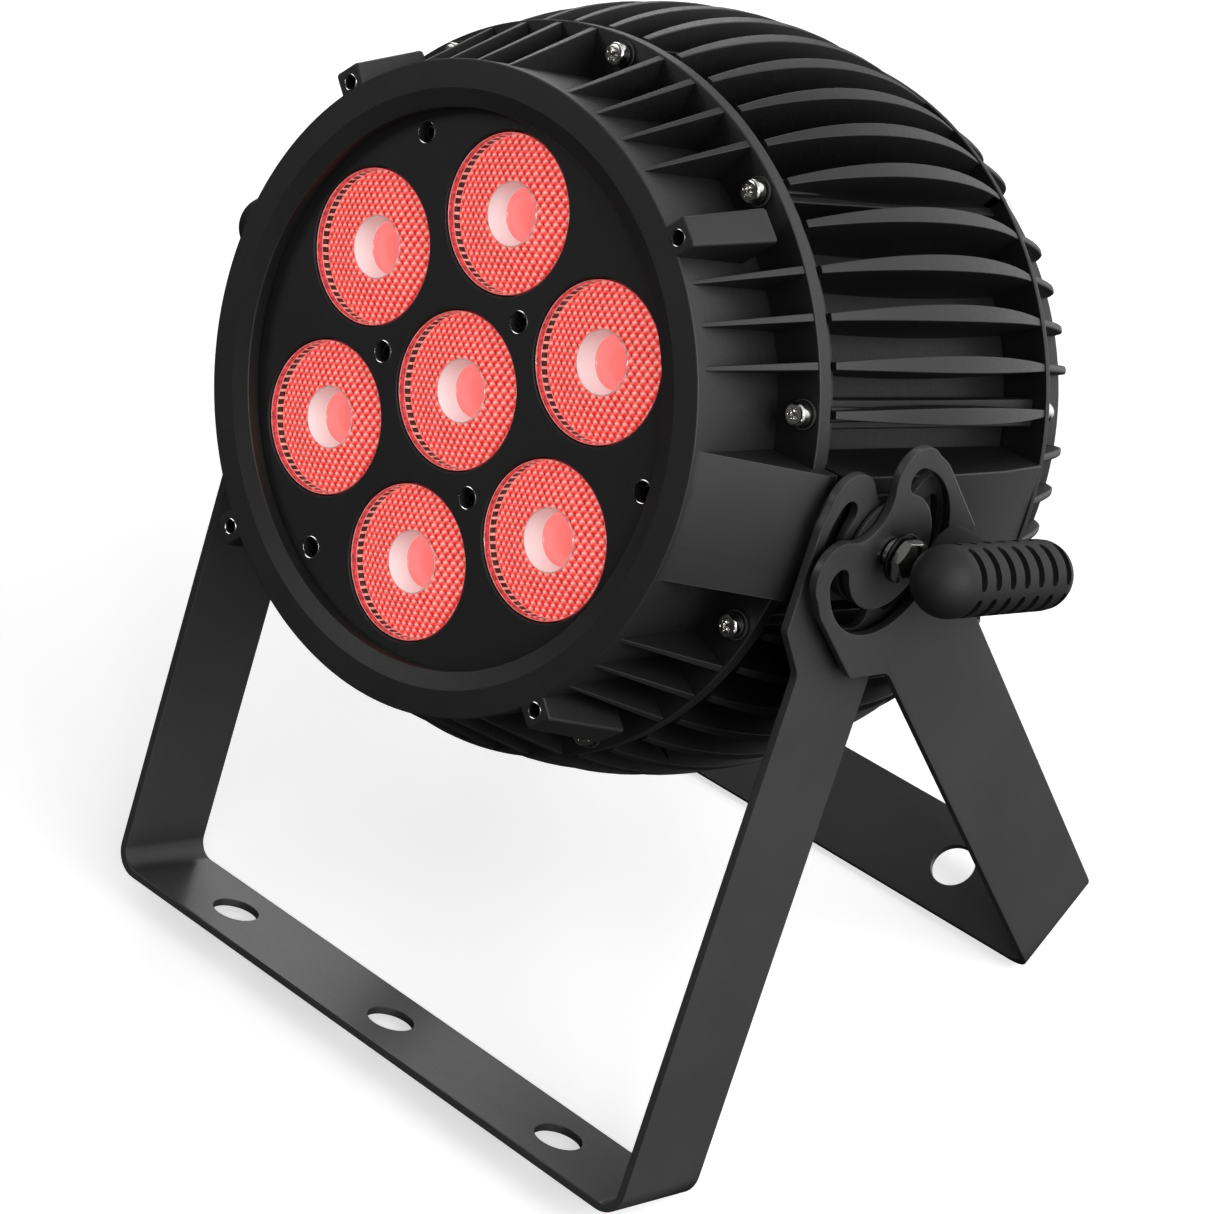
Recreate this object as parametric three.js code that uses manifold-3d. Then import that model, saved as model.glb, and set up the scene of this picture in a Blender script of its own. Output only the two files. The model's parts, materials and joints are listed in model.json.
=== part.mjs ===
// LED par can light on a double yoke: a sealed seven-lens head that tilts between two U-shaped yokes.
// Millimetres, +Z up. The light looks towards -Y, the pivot axis is parallel to X,
// and the origin is under the middle of the object, on the floor that both yokes stand on.
import * as THREE from 'three';
import { mergeVertices } from 'three/addons/utils/BufferGeometryUtils.js';
import Module from 'manifold-3d';

const wasm = await Module();
wasm.setup();

// ---------------------------------------------------------------- driving dimensions
const GAP = 0.3; // clearance between pieces that touch on the real light
const DEG = Math.PI / 180;

// Pose
const HEAD_TILT = 22.6 * DEG; // how far the head looks up
const FRONT_YOKE_ANGLE = 23 * DEG; // the front yoke's lean towards -Y

// Everything round the head sits on one angular grid, measured from the top.
const GRID_COUNT = 50;
const GRID_STEP = (2 * Math.PI) / GRID_COUNT;
const SCREW_EVERY = 5; // a housing screw at every fifth place
const TAB_PLACES = [6, 19, 31, 44]; // the four accessory tabs
const PAD_PLACES = [11, 12, 13, 14, 36, 37, 38, 39]; // left free for the trunnion pads

// Front housing. Along the head axis, y = 0 at the pivot and the front is negative.
const BEZEL_R = 80;
const BEZEL_Y = -52.6;
const OPENING_R = 68.2;
const BEVEL_R = 72.8;
const WALL_R = 79;
const FLANGE_R = 91.5;
const FLANGE_Y = -20.8;
const FLANGE_THICK = 3.4;
const CAVITY_R = 74;
const RIB_TIP_THICK = 0.9;
const RIB_ROOT_THICK = 2;
const TAB_HALF = 3.9; // half its width at the front
const TAB_REAR_HALF = 4.5;
const TAB_OUTER_R = 85.3;
const TAB_REAR_R = 90.3;
const TAB_HOLE_R = 1.7;
const TAB_HOLE_PCR = 81.6;
const PAD_HALF = 16; // half the height of the side pads
const SCREW_PCR = 87;
const SCREW_HEAD_R = 2.9;
const SCREW_SHANK_R = 1.8;
const SCREW_HOLE_R = 2.2;

// Lens panel and optics
const PANEL_Y = -47.4;
const PANEL_THICK = 3;
const PANEL_R = 70.9;
const LENS_R = 19.5;
const LENS_PCR = 45.5;
const LENS_HOLE_R = 19.9;
const LENS_RIM_R = 20.6;
const LENS_RIM_THICK = 1.2;
const LENS_BORE_R = 7.6;
const LENS_BORE_DEPTH = 8;
const LENS_SIDES = 12;
const PANEL_SCREW_R = 2.2;
const PANEL_SCREW_HOLE_R = 2.6;
const PANEL_SCREW_INNER_PCR = 26.3;
const PANEL_SCREW_OUTER_PCR = 63.7;
const HOLDER_THICK = 2;
const BOARD_THICK = 1.6;
const BOARD_R = 69;
const EMITTER_SIZE = 5;
const EMITTER_HEIGHT = 1.6;

// Heatsink housing
const HEATSINK_Y = -15.8;
const HEATSINK_FLANGE_R = 88.6;
const DRUM_R = 80;
const DRUM_WALL = 4;
const PARTITION_THICK = 6;
const FIN_R = 100; // largest radius of the fins' rounded outline
const FIN_MID_Y = 28.7; // where that radius is
const FIN_HALF_LENGTH = 113; // half length of the ellipse that the outline follows
const FIN_MID_THICK = 4.2;
const FIN_END_THICK = 2.2;
const HEATSINK_BACK = 72.2;
const REAR_MOUTH_R = 70;
const BOSS_R = 3.8;
const PAD_FRONT_R = 95.2; // where the front housing's pads end
const PAD_FACE_X = 95.5; // flat face that the yokes are clamped against

// Rear cover
const RING_R = 92.5; // flange that is screwed to the heatsink
const RING_Y = HEATSINK_BACK + GAP;
const RING_THICK = 1.6;
const COVER_R = 81.3;
const COVER_BACK = 96.2;
const COVER_THICK = 3.2;
const COVER_INSIDE = COVER_BACK - COVER_THICK; // inner face of its back wall
const HOOK_WIDTH = 2.2;
const BUTTON_R = 4;
const BUTTON_PROUD = 2.2;
const BUTTON_STEP = 14;

// Yokes
const YOKE_THICK = 2.3;
const LEG_WIDTH = 30;
const BEND_R = 5.2; // inside radius of the two bends
const FRONT_YOKE_X = 99.5; // outer faces of the front yoke's legs
const FRONT_YOKE_LENGTH = 181.4; // pivot axis to the bar's inner face
const REAR_YOKE_X = 103.5;
const REAR_YOKE_LENGTH = 187.4;
const BAR_HOLE_R = 6.5;
const BAR_HOLE_STEP = 64.3;
const PIVOT_HOLE_R = 3.5;
const SLOT_MEAN_R = 18.2;
const SLOT_WIDTH = 6.6;
const FRONT_SLOT = [-4 * DEG, 117 * DEG]; // centres of each kidney slot's round ends
const REAR_SLOT = [-122 * DEG, -40 * DEG];

// Clamp levers
const STUD_R = 3;
const WASHER_R = 12;
const NUT_X = 106.4;
const NUT_THICK = 3.6;
const NUT_R = 5.8;
const COLLAR_R = 6.2;
const LEVER_X = 120.8; // middle of the grip
const LEVER_R = 8.8;
const LEVER_LENGTH = 38.2; // between the centres of its round ends
const LEVER_WEB_AT = 17.6;
const LEVER_WEB_R = 8;
const LEVER_WEB_X = 106.6;

// ---------------------------------------------------------------- materials
const material = (color, roughness, metalness) =>
  new THREE.MeshStandardMaterial({ color, roughness, metalness });
const powderCoat = material(0x1c1c1d, 0.55, 0.2);
const coatedCasting = material(0x1a1a1b, 0.5, 0.2);
const aluminium = material(0xa9acae, 0.45, 0.9);
const chrome = material(0xd8dadc, 0.15, 1);
const clearLens = material(0xd83c3c, 0.2, 0);
const blackPlastic = material(0x222222, 0.6, 0);
const rubber = material(0x111111, 0.85, 0);
const circuitBoard = material(0x1d5a34, 0.5, 0.1);
const sheetSteel = material(0xa8abae, 0.4, 0.9);
const displayGlass = material(0x0a0d12, 0.1, 0);

// ---------------------------------------------------------------- solids
function toSolid(geometry) {
  const bare = geometry.index ? geometry.clone() : mergeVertices(geometry);
  bare.deleteAttribute('normal');
  bare.deleteAttribute('uv');
  const merged = mergeVertices(bare, 1e-4);
  const position = merged.attributes.position;
  const corners = [];
  let volume = 0;
  for (let i = 0; i < merged.index.count; i += 3) {
    const [a, b, c] = [0, 1, 2].map((k) => merged.index.getX(i + k));
    if (a === b || b === c || c === a) continue;
    corners.push(a, b, c);
    const [pa, pb, pc] = [a, b, c].map((k) => new THREE.Vector3().fromBufferAttribute(position, k));
    volume += pa.dot(pb.cross(pc));
  }
  if (volume < 0) corners.reverse();
  const mesh = new wasm.Mesh({
    numProp: 3,
    vertProperties: new Float32Array(position.array),
    triVerts: new Uint32Array(corners),
  });
  return new wasm.Manifold(mesh);
}

function toGeometry(solid) {
  const { vertProperties, triVerts } = solid.getMesh();
  const geometry = new THREE.BufferGeometry();
  geometry.setAttribute('position', new THREE.BufferAttribute(new Float32Array(vertProperties), 3));
  geometry.setIndex(new THREE.BufferAttribute(new Uint32Array(triVerts), 1));
  geometry.computeVertexNormals();
  return geometry;
}

const join = (...solids) => solids.reduce((sum, solid) => sum.add(solid));
const cut = (solid, ...tools) => tools.reduce((rest, tool) => rest.subtract(tool), solid);

// A solid of revolution round the Y axis, from [radius, y] points.
function lathe(points, sides, closed = false) {
  const profile = points.map(([r, y]) => new THREE.Vector2(r, y));
  if (closed) profile.push(profile[0].clone());
  return toSolid(new THREE.LatheGeometry(profile, sides));
}

// The same, turned by half a grid step: each rib or fin then stands on one flat of the polygon.
const gridLathe = (points, closed = false) =>
  lathe(points, GRID_COUNT, closed).rotate([0, 180 / GRID_COUNT, 0]);

// A cylinder along Y between two heights, at (x, z).
function pegY(radius, y0, y1, x = 0, z = 0, sides = 16) {
  const geometry = new THREE.CylinderGeometry(radius, radius, y1 - y0, sides);
  return toSolid(geometry.translate(x, (y0 + y1) / 2, z));
}

// A cylinder along X between two places, at (y, z).
function pegX(radius, x0, x1, y = 0, z = 0, sides = 16) {
  const geometry = new THREE.CylinderGeometry(radius, radius, Math.abs(x1 - x0), sides);
  return toSolid(geometry.rotateZ(Math.PI / 2).translate((x0 + x1) / 2, y, z));
}

function box(x0, x1, y0, y1, z0, z1) {
  const geometry = new THREE.BoxGeometry(x1 - x0, y1 - y0, z1 - z0);
  return toSolid(geometry.translate((x0 + x1) / 2, (y0 + y1) / 2, (z0 + z1) / 2));
}

// A bar whose rectangular section changes along Y: each section is {y, inner, outer, half},
// its radial limits and half its thickness, and the bar stands at one angle round the Y axis.
function radialBar(sections, angle) {
  const out = [Math.cos(angle), Math.sin(angle)];
  const side = [-Math.sin(angle), Math.cos(angle)];
  const points = [];
  for (const { y, inner, outer, half } of sections) {
    for (const [r, t] of [[inner, -half], [outer, -half], [outer, half], [inner, half]]) {
      points.push(out[0] * r + side[0] * t, y, out[1] * r + side[1] * t);
    }
  }
  const faces = [0, 1, 2, 0, 2, 3];
  for (let s = 0; s < sections.length - 1; s += 1) {
    for (let k = 0; k < 4; k += 1) {
      const a = 4 * s + k;
      const b = 4 * s + ((k + 1) % 4);
      faces.push(a, a + 4, b + 4, a, b + 4, b);
    }
  }
  const last = 4 * (sections.length - 1);
  faces.push(last, last + 2, last + 1, last, last + 3, last + 2);
  const geometry = new THREE.BufferGeometry();
  geometry.setAttribute('position', new THREE.Float32BufferAttribute(points, 3));
  geometry.setIndex(faces);
  return toSolid(geometry);
}

const gridAngle = (place) => Math.PI / 2 - place * GRID_STEP;
const atAngle = (radius, angle) => [radius * Math.cos(angle), radius * Math.sin(angle)];
const allPlaces = Array.from({ length: GRID_COUNT }, (_, place) => place);
const screwPlaces = allPlaces.filter((place) => place % SCREW_EVERY === 0);
const ribPlaces = allPlaces.filter(
  (place) => !screwPlaces.includes(place) && !TAB_PLACES.includes(place) && !PAD_PLACES.includes(place)
);
const finPlaces = allPlaces.filter((place) => !PAD_PLACES.includes(place));
const lensCentres = [[0, 0], ...[0, 1, 2, 3, 4, 5].map((k) => atAngle(LENS_PCR, (30 + 60 * k) * DEG))];
const panelScrews = [0, 1, 2].flatMap((k) => [
  atAngle(PANEL_SCREW_INNER_PCR, (60 + 120 * k) * DEG),
  atAngle(PANEL_SCREW_OUTER_PCR, (120 * k) * DEG),
]);

// ---------------------------------------------------------------- front housing
function frontHousing() {
  const rear = FLANGE_Y + FLANGE_THICK;
  const lip = PANEL_Y - GAP;
  const shell = gridLathe([
    [OPENING_R, BEZEL_Y + 1.2],
    [BEVEL_R, BEZEL_Y],
    [BEZEL_R - 0.4, BEZEL_Y],
    [BEZEL_R, BEZEL_Y + 0.4],
    [WALL_R, FLANGE_Y],
    [FLANGE_R, FLANGE_Y],
    [FLANGE_R, rear],
    [CAVITY_R, rear],
    [CAVITY_R, PANEL_Y + PANEL_THICK + 0.4],
    [PANEL_R + GAP, PANEL_Y + PANEL_THICK + 0.4],
    [PANEL_R + GAP, lip],
    [OPENING_R, lip],
  ], true);
  const root = CAVITY_R + 2;
  const tipY = BEZEL_Y + 2.5;
  const ribs = ribPlaces.map((place) => radialBar([
    { y: tipY, inner: root, outer: BEZEL_R - 0.3, half: RIB_TIP_THICK / 2 },
    { y: FLANGE_Y + 0.5, inner: root, outer: FLANGE_R - 0.3, half: RIB_ROOT_THICK / 2 },
  ], gridAngle(place)));
  const tabs = TAB_PLACES.map((place) => radialBar([
    { y: BEZEL_Y, inner: root, outer: TAB_OUTER_R - 0.6, half: TAB_HALF - 0.6 },
    { y: BEZEL_Y + 0.6, inner: root, outer: TAB_OUTER_R, half: TAB_HALF },
    { y: FLANGE_Y - 7.4, inner: root, outer: TAB_REAR_R, half: TAB_REAR_HALF },
    { y: FLANGE_Y - 6.6, inner: root, outer: TAB_REAR_R - 1, half: TAB_REAR_HALF - 0.6 },
  ], gridAngle(place)));
  const cone = gridLathe([
    [root, tipY],
    [BEZEL_R - 0.2, tipY],
    [PAD_FRONT_R, FLANGE_Y + 0.5],
    [PAD_FRONT_R, rear],
    [root, rear],
  ], true);
  const pads = [box(60, 100, -60, 0, -PAD_HALF, PAD_HALF), box(-100, -60, -60, 0, -PAD_HALF, PAD_HALF)]
    .map((block) => block.intersect(cone));
  const seats = screwPlaces.map((place) =>
    pegY(SCREW_HEAD_R + 1, FLANGE_Y - 1.6, FLANGE_Y + 1, ...atAngle(SCREW_PCR, gridAngle(place)), 8));
  const holes = [
    ...screwPlaces.map((place) =>
      pegY(SCREW_HOLE_R, FLANGE_Y - 3, rear + 1, ...atAngle(SCREW_PCR, gridAngle(place)), 8)),
    ...TAB_PLACES.map((place) =>
      pegY(TAB_HOLE_R, BEZEL_Y - 1, BEZEL_Y + 12, ...atAngle(TAB_HOLE_PCR, gridAngle(place)), 8)),
  ];
  return cut(join(shell, ...ribs, ...tabs, ...pads, ...seats), ...holes);
}

function housingScrew(place) {
  const [x, z] = atAngle(SCREW_PCR, gridAngle(place));
  const seat = FLANGE_Y - 1.6 - GAP;
  const head = seat - 3.2;
  const screw = lathe([
    [0, head],
    [SCREW_HEAD_R, head],
    [SCREW_HEAD_R, seat],
    [SCREW_SHANK_R, seat],
    [SCREW_SHANK_R, HEATSINK_Y + 10],
    [0, HEATSINK_Y + 10],
  ], 8);
  return screw.translate([x, 0, z]);
}

function ring(innerR, outerR, y0, y1) {
  return lathe([[innerR, y0], [outerR, y0], [outerR, y1], [innerR, y1]], GRID_COUNT / 2, true);
}

// ---------------------------------------------------------------- lens panel and optics
function lensPanel() {
  const back = PANEL_Y + PANEL_THICK;
  const disc = pegY(PANEL_R, PANEL_Y, back, 0, 0, GRID_COUNT);
  return cut(
    disc,
    ...lensCentres.map(([x, z]) => pegY(LENS_HOLE_R, PANEL_Y - 1, back + 1, x, z, LENS_SIDES)),
    ...panelScrews.map(([x, z]) => pegY(PANEL_SCREW_HOLE_R, PANEL_Y - 1, back + 1, x, z, 8)),
  );
}

// A collimator lens: bored front face, rim held behind the panel, cone down to its emitter.
function collimatorLens([x, z]) {
  const front = PANEL_Y + 0.5;
  const rim = PANEL_Y + PANEL_THICK + GAP;
  const rimBack = rim + LENS_RIM_THICK;
  const tail = HEATSINK_Y - BOARD_THICK - 3.4;
  const lens = lathe([
    [0, front + LENS_BORE_DEPTH],
    [LENS_BORE_R - 0.6, front + LENS_BORE_DEPTH],
    [LENS_BORE_R, front],
    [LENS_R, front],
    [LENS_R, rim],
    [LENS_RIM_R, rim],
    [LENS_RIM_R, rimBack],
    [LENS_R - 1.4, rimBack],
    [6.4, tail],
    [0, tail],
  ], LENS_SIDES);
  return lens.translate([x, 0, z]);
}

function panelScrew([x, z]) {
  return pegY(PANEL_SCREW_R, PANEL_Y + 1.4, PANEL_Y + PANEL_THICK + 3, x, z, 8);
}

function lensHolder() {
  const front = PANEL_Y + PANEL_THICK + 2 * GAP + LENS_RIM_THICK;
  const back = front + HOLDER_THICK;
  const plate = pegY(PANEL_R, front, back, 0, 0, GRID_COUNT / 2);
  return cut(
    plate,
    ...lensCentres.map(([x, z]) => pegY(LENS_R - 0.8, front - 1, back + 1, x, z, LENS_SIDES)),
    ...panelScrews.map(([x, z]) => pegY(PANEL_SCREW_HOLE_R, front - 1, back + 1, x, z, 6)),
  );
}

function ledBoard() {
  const back = HEATSINK_Y + 1.7 - GAP;
  const front = back - BOARD_THICK;
  const half = EMITTER_SIZE / 2;
  const emitters = lensCentres.map(([x, z]) =>
    box(x - half, x + half, front - EMITTER_HEIGHT, front + 0.5, z - half, z + half));
  return join(pegY(BOARD_R, front, back, 0, 0, GRID_COUNT / 2), ...emitters);
}

// ---------------------------------------------------------------- heatsink housing
const finRadius = (y) => FIN_R * Math.sqrt(1 - ((y - FIN_MID_Y) / FIN_HALF_LENGTH) ** 2);

function fin(place) {
  const stations = 5;
  const start = HEATSINK_Y;
  const end = HEATSINK_BACK;
  const sections = Array.from({ length: stations }, (_, k) => {
    const t = k / (stations - 1);
    const y = start + (end - start) * t;
    const thick = FIN_END_THICK + (FIN_MID_THICK - FIN_END_THICK) * Math.sin(Math.PI * t);
    return { y, inner: DRUM_R - 2, outer: finRadius(y), half: thick / 2 };
  });
  return radialBar(sections, gridAngle(place));
}

function screwBoss(place) {
  const sections = [
    { y: HEATSINK_Y + 1, inner: DRUM_R - 2, outer: SCREW_PCR + BOSS_R, half: BOSS_R },
    { y: HEATSINK_BACK, inner: DRUM_R - 2, outer: SCREW_PCR + BOSS_R * 0.7, half: BOSS_R * 0.8 },
  ];
  return radialBar(sections, gridAngle(place));
}

function sidePad(angle) {
  const inner = DRUM_R - 2;
  return radialBar([
    { y: HEATSINK_Y, inner, outer: PAD_FACE_X, half: PAD_HALF },
    { y: 30, inner, outer: PAD_FACE_X, half: PAD_HALF - 0.4 },
    { y: 62, inner, outer: 91.4, half: PAD_HALF - 2 },
    { y: HEATSINK_BACK, inner, outer: 88.6, half: PAD_HALF - 3 },
  ], angle);
}

function heatsinkHousing() {
  const inner = DRUM_R - DRUM_WALL;
  const recess = HEATSINK_Y + 1.7;
  const body = gridLathe([
    [0, recess],
    [BOARD_R + 1, recess],
    [BOARD_R + 1, HEATSINK_Y],
    [HEATSINK_FLANGE_R, HEATSINK_Y],
    [HEATSINK_FLANGE_R, HEATSINK_Y + 3],
    [DRUM_R, HEATSINK_Y + 3],
    [DRUM_R, HEATSINK_BACK],
    [REAR_MOUTH_R, HEATSINK_BACK],
    [REAR_MOUTH_R, HEATSINK_BACK - 4],
    [inner, HEATSINK_BACK - 10],
    [inner, recess + PARTITION_THICK],
    [0, recess + PARTITION_THICK],
  ]);
  const threads = screwPlaces.map((place) =>
    pegY(SCREW_HOLE_R, HEATSINK_Y - 1, HEATSINK_Y + 12, ...atAngle(SCREW_PCR, gridAngle(place)), 8));
  const studHoles = [1, -1].map((side) => pegX(PIVOT_HOLE_R, side * 84, side * 100, 0, 0, 12));
  const wireHole = pegY(5, recess - 1, recess + PARTITION_THICK + 1, 0, 58, 10);
  const solid = join(
    body,
    ...finPlaces.map(fin),
    ...screwPlaces.map(screwBoss),
    sidePad(0),
    sidePad(Math.PI),
  );
  return cut(solid, ...threads, ...studHoles, wireHole);
}

// ---------------------------------------------------------------- rear cover and electronics
const buttonCentres = [-1.5, -0.5, 0.5, 1.5].map((k) => [k * BUTTON_STEP, 8]);
const sockets = [
  { name: 'power_inlet', x: -26, z: -26, r: 12, length: 15 },
  { name: 'power_outlet', x: 26, z: -26, r: 12, length: 15 },
  { name: 'data_input', x: -10, z: -48, r: 8.5, length: 13 },
  { name: 'data_output', x: 12, z: -48, r: 8.5, length: 13 },
];
const ventCentre = [44, 14];
const VENT_R = 6;
const eyeCentre = [-37, 35];
const EYE_R = 4.6;

function rearCover() {
  const shell = gridLathe([
    [0, COVER_INSIDE],
    [COVER_R - COVER_THICK, COVER_INSIDE],
    [COVER_R - COVER_THICK, RING_Y + 4],
    [REAR_MOUTH_R, RING_Y + 4],
    [REAR_MOUTH_R, RING_Y + 1.3],
    [79.5, RING_Y + 1.3],
    [79.5, RING_Y],
    [RING_R, RING_Y],
    [RING_R, RING_Y + RING_THICK],
    [COVER_R, RING_Y + RING_THICK],
    [COVER_R, COVER_BACK],
    [0, COVER_BACK],
  ]);
  const outline = [[RING_Y + 0.8, RING_R - 0.3], [82, 89.6], [90, 86.6], [94.4, 84.2], [COVER_BACK - 0.2, 82.2]];
  const hooks = allPlaces.filter((place) => !screwPlaces.includes(place)).map((place) => radialBar(
    outline.map(([y, outer]) => ({ y, inner: COVER_R - 1, outer, half: HOOK_WIDTH / 2 })), gridAngle(place)));
  const openings = [
    ...buttonCentres.map(([x, z]) => pegY(BUTTON_R + GAP, COVER_INSIDE - 1, COVER_BACK + 2, x, z, 12)),
    ...sockets.map(({ x, z, r }) => pegY(r - 1.6, COVER_INSIDE - 1, COVER_BACK + 2, x, z, 12)),
    pegY(VENT_R - 1.6, COVER_INSIDE - 1, COVER_BACK + 2, ...ventCentre, 12),
    box(-26 - GAP, 26 + GAP, COVER_BACK - 1.4, COVER_BACK + 2, 20 - GAP, 42 + GAP),
  ];
  return cut(join(shell, ...hooks), ...openings);
}

function displayWindow() {
  return box(-26, 26, COVER_BACK - 1.4 + GAP, COVER_BACK + 0.4, 20, 42);
}

// A push button with a collar behind the cover that keeps it in.
function pushButton([x, z]) {
  const inside = COVER_INSIDE - GAP;
  return join(
    pegY(BUTTON_R, inside - 1, COVER_BACK + BUTTON_PROUD, x, z, 12),
    pegY(BUTTON_R + 1.4, inside - 1.4, inside, x, z, 12),
  );
}

// A sealed panel connector: an open cup for the plug, with its shank through the cover.
function connector({ x, z, r, length }) {
  const face = COVER_BACK + GAP;
  const mouth = face + length;
  const wall = 2;
  const body = lathe([
    [0, face - 9],
    [r - 2.2, face - 9],
    [r - 2.2, face],
    [r, face],
    [r, mouth],
    [r - wall, mouth],
    [r - wall, face + wall],
    [0, face + wall],
  ], 12);
  return body.translate([x, 0, z]);
}

function ventValve() {
  const face = COVER_BACK + GAP;
  const [x, z] = ventCentre;
  return join(
    pegY(VENT_R - 2.2, face - 5, face + 1, x, z, 12),
    pegY(VENT_R, face, face + 3.6, x, z, 12),
  );
}

// A bent strip with a round eye for the safety cable.
function safetyEye() {
  const face = COVER_BACK + GAP;
  const thick = 2.4;
  const halfWidth = 7;
  const reach = 19;
  const [x, z] = eyeCentre;
  const foot = box(x - halfWidth, x + halfWidth, face, face + thick, z - 18, z + thick / 2);
  const ear = box(x - halfWidth, x + halfWidth, face, face + reach, z - thick / 2, z + thick / 2);
  const eye = new THREE.CylinderGeometry(EYE_R, EYE_R, 4 * thick, 16).rotateX(Math.PI / 2);
  return cut(join(foot, ear), toSolid(eye.translate(x, face + reach - halfWidth, z)));
}

function powerSupply() {
  const front = HEATSINK_Y + 1.7 + PARTITION_THICK + GAP;
  return join(
    box(-52, 52, front, front + 34, -30, 30),
    box(-58, 58, front, front + 1.6, -12, 12),
  );
}

function driverBoard() {
  const front = 44;
  const half = 46;
  return join(
    box(-half, half, front, front + BOARD_THICK, -half, half),
    box(-20, 4, front + BOARD_THICK - 0.2, front + 9, -10, 22),
    box(14, 30, front + BOARD_THICK - 0.2, front + 5, -34, -14),
    pegY(6, front + BOARD_THICK - 0.2, front + 16, -32, -28, 12),
  );
}

// ---------------------------------------------------------------- yokes
// The ear's outline round the pivot, as [down the leg, across it] points, symmetrical about the leg.
function earShape() {
  const lobe = new THREE.Vector2(-10, 15.4);
  const lobeR = 8.4;
  const saddle = -20;
  const side = 25.1;
  const legHalf = LEG_WIDTH / 2;
  const saddleR = lobe.distanceTo(new THREE.Vector2(saddle, 0)) - lobeR;
  const half = [];
  const saddleEnd = Math.atan2(lobe.y, lobe.x - saddle);
  for (let k = 0; k <= 4; k += 1) {
    const a = (saddleEnd * k) / 4;
    half.push([saddle + saddleR * Math.cos(a), saddleR * Math.sin(a)]);
  }
  const lobeStart = saddleEnd + Math.PI;
  for (let k = 1; k <= 5; k += 1) {
    const a = lobeStart - ((lobeStart - Math.PI / 2) * k) / 5;
    half.push([lobe.x + lobeR * Math.cos(a), lobe.y + lobeR * Math.sin(a)]);
  }
  half.push([-5, side], [20.4, side], [22.6, side - 1], [31.6, legHalf + 1.4], [34.6, legHalf + 0.02]);
  half.push([60, legHalf + 0.02]);
  return [...half, ...half.slice(1).reverse().map(([s, q]) => [s, -q])];
}

function slotShape([from, to]) {
  const r0 = SLOT_MEAN_R - SLOT_WIDTH / 2;
  const r1 = SLOT_MEAN_R + SLOT_WIDTH / 2;
  const points = [];
  const steps = 6;
  for (let k = 0; k <= steps; k += 1) {
    const a = from + ((to - from) * k) / steps;
    points.push([r1 * Math.cos(a), r1 * Math.sin(a)]);
  }
  const roundEnd = (angle, turn) => {
    for (let k = 1; k < 4; k += 1) {
      const a = angle + turn + (Math.PI * k) / 4;
      points.push([
        SLOT_MEAN_R * Math.cos(angle) + (SLOT_WIDTH / 2) * Math.cos(a),
        SLOT_MEAN_R * Math.sin(angle) + (SLOT_WIDTH / 2) * Math.sin(a),
      ]);
    }
  };
  roundEnd(to, 0);
  for (let k = steps; k >= 0; k -= 1) {
    const a = from + ((to - from) * k) / steps;
    points.push([r0 * Math.cos(a), r0 * Math.sin(a)]);
  }
  roundEnd(from, Math.PI);
  return points;
}

// A flat plate across X from a [down, across] outline; across is positive towards -Y.
function plateX(outline, x0, x1) {
  const shape = new THREE.Shape(outline.map(([s, q]) => new THREE.Vector2(-q, -s)));
  const geometry = new THREE.ExtrudeGeometry(shape, { depth: x1 - x0, bevelEnabled: false });
  // The extrusion runs along Z: turn it so that (x, y, z) becomes (y, z, x).
  const turn = new THREE.Matrix4().makeBasis(
    new THREE.Vector3(0, 1, 0), new THREE.Vector3(0, 0, 1), new THREE.Vector3(1, 0, 0));
  return toSolid(geometry.applyMatrix4(turn).translate(x0, 0, 0));
}

// The bent strip, hanging straight down from the pivot axis.
function yoke(outerX, length) {
  const bottom = -length - YOKE_THICK;
  const top = -50;
  const outerBend = BEND_R + YOKE_THICK;
  const strip = new THREE.Shape();
  strip.moveTo(-outerX, top);
  strip.lineTo(-outerX, bottom + outerBend);
  strip.absarc(-outerX + outerBend, bottom + outerBend, outerBend, Math.PI, 1.5 * Math.PI, false);
  strip.lineTo(outerX - outerBend, bottom);
  strip.absarc(outerX - outerBend, bottom + outerBend, outerBend, 1.5 * Math.PI, 2 * Math.PI, false);
  strip.lineTo(outerX, top);
  strip.lineTo(outerX - YOKE_THICK, top);
  strip.absarc(outerX - outerBend, bottom + outerBend, BEND_R, 0, -Math.PI / 2, true);
  strip.absarc(-outerX + outerBend, bottom + outerBend, BEND_R, 1.5 * Math.PI, Math.PI, true);
  strip.lineTo(-outerX + YOKE_THICK, top);
  const bar = new THREE.ExtrudeGeometry(strip, { depth: LEG_WIDTH, bevelEnabled: false, curveSegments: 5 });
  const bent = toSolid(bar.rotateX(Math.PI / 2).translate(0, LEG_WIDTH / 2, 0));
  const ears = [[-outerX, -outerX + YOKE_THICK], [outerX - YOKE_THICK, outerX]]
    .map(([x0, x1]) => plateX(earShape(), x0, x1));
  const cuts = [
    pegX(PIVOT_HOLE_R, -outerX - 2, outerX + 2),
    plateX(slotShape(FRONT_SLOT), -outerX - 2, outerX + 2),
    plateX(slotShape(REAR_SLOT), -outerX - 2, outerX + 2),
    ...[-1, 0, 1].map((k) => {
      const hole = new THREE.CylinderGeometry(BAR_HOLE_R, BAR_HOLE_R, 12, 14).rotateX(Math.PI / 2);
      return toSolid(hole.translate(k * BAR_HOLE_STEP, 0, bottom));
    }),
  ];
  return cut(join(bent, ...ears), ...cuts);
}

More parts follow.
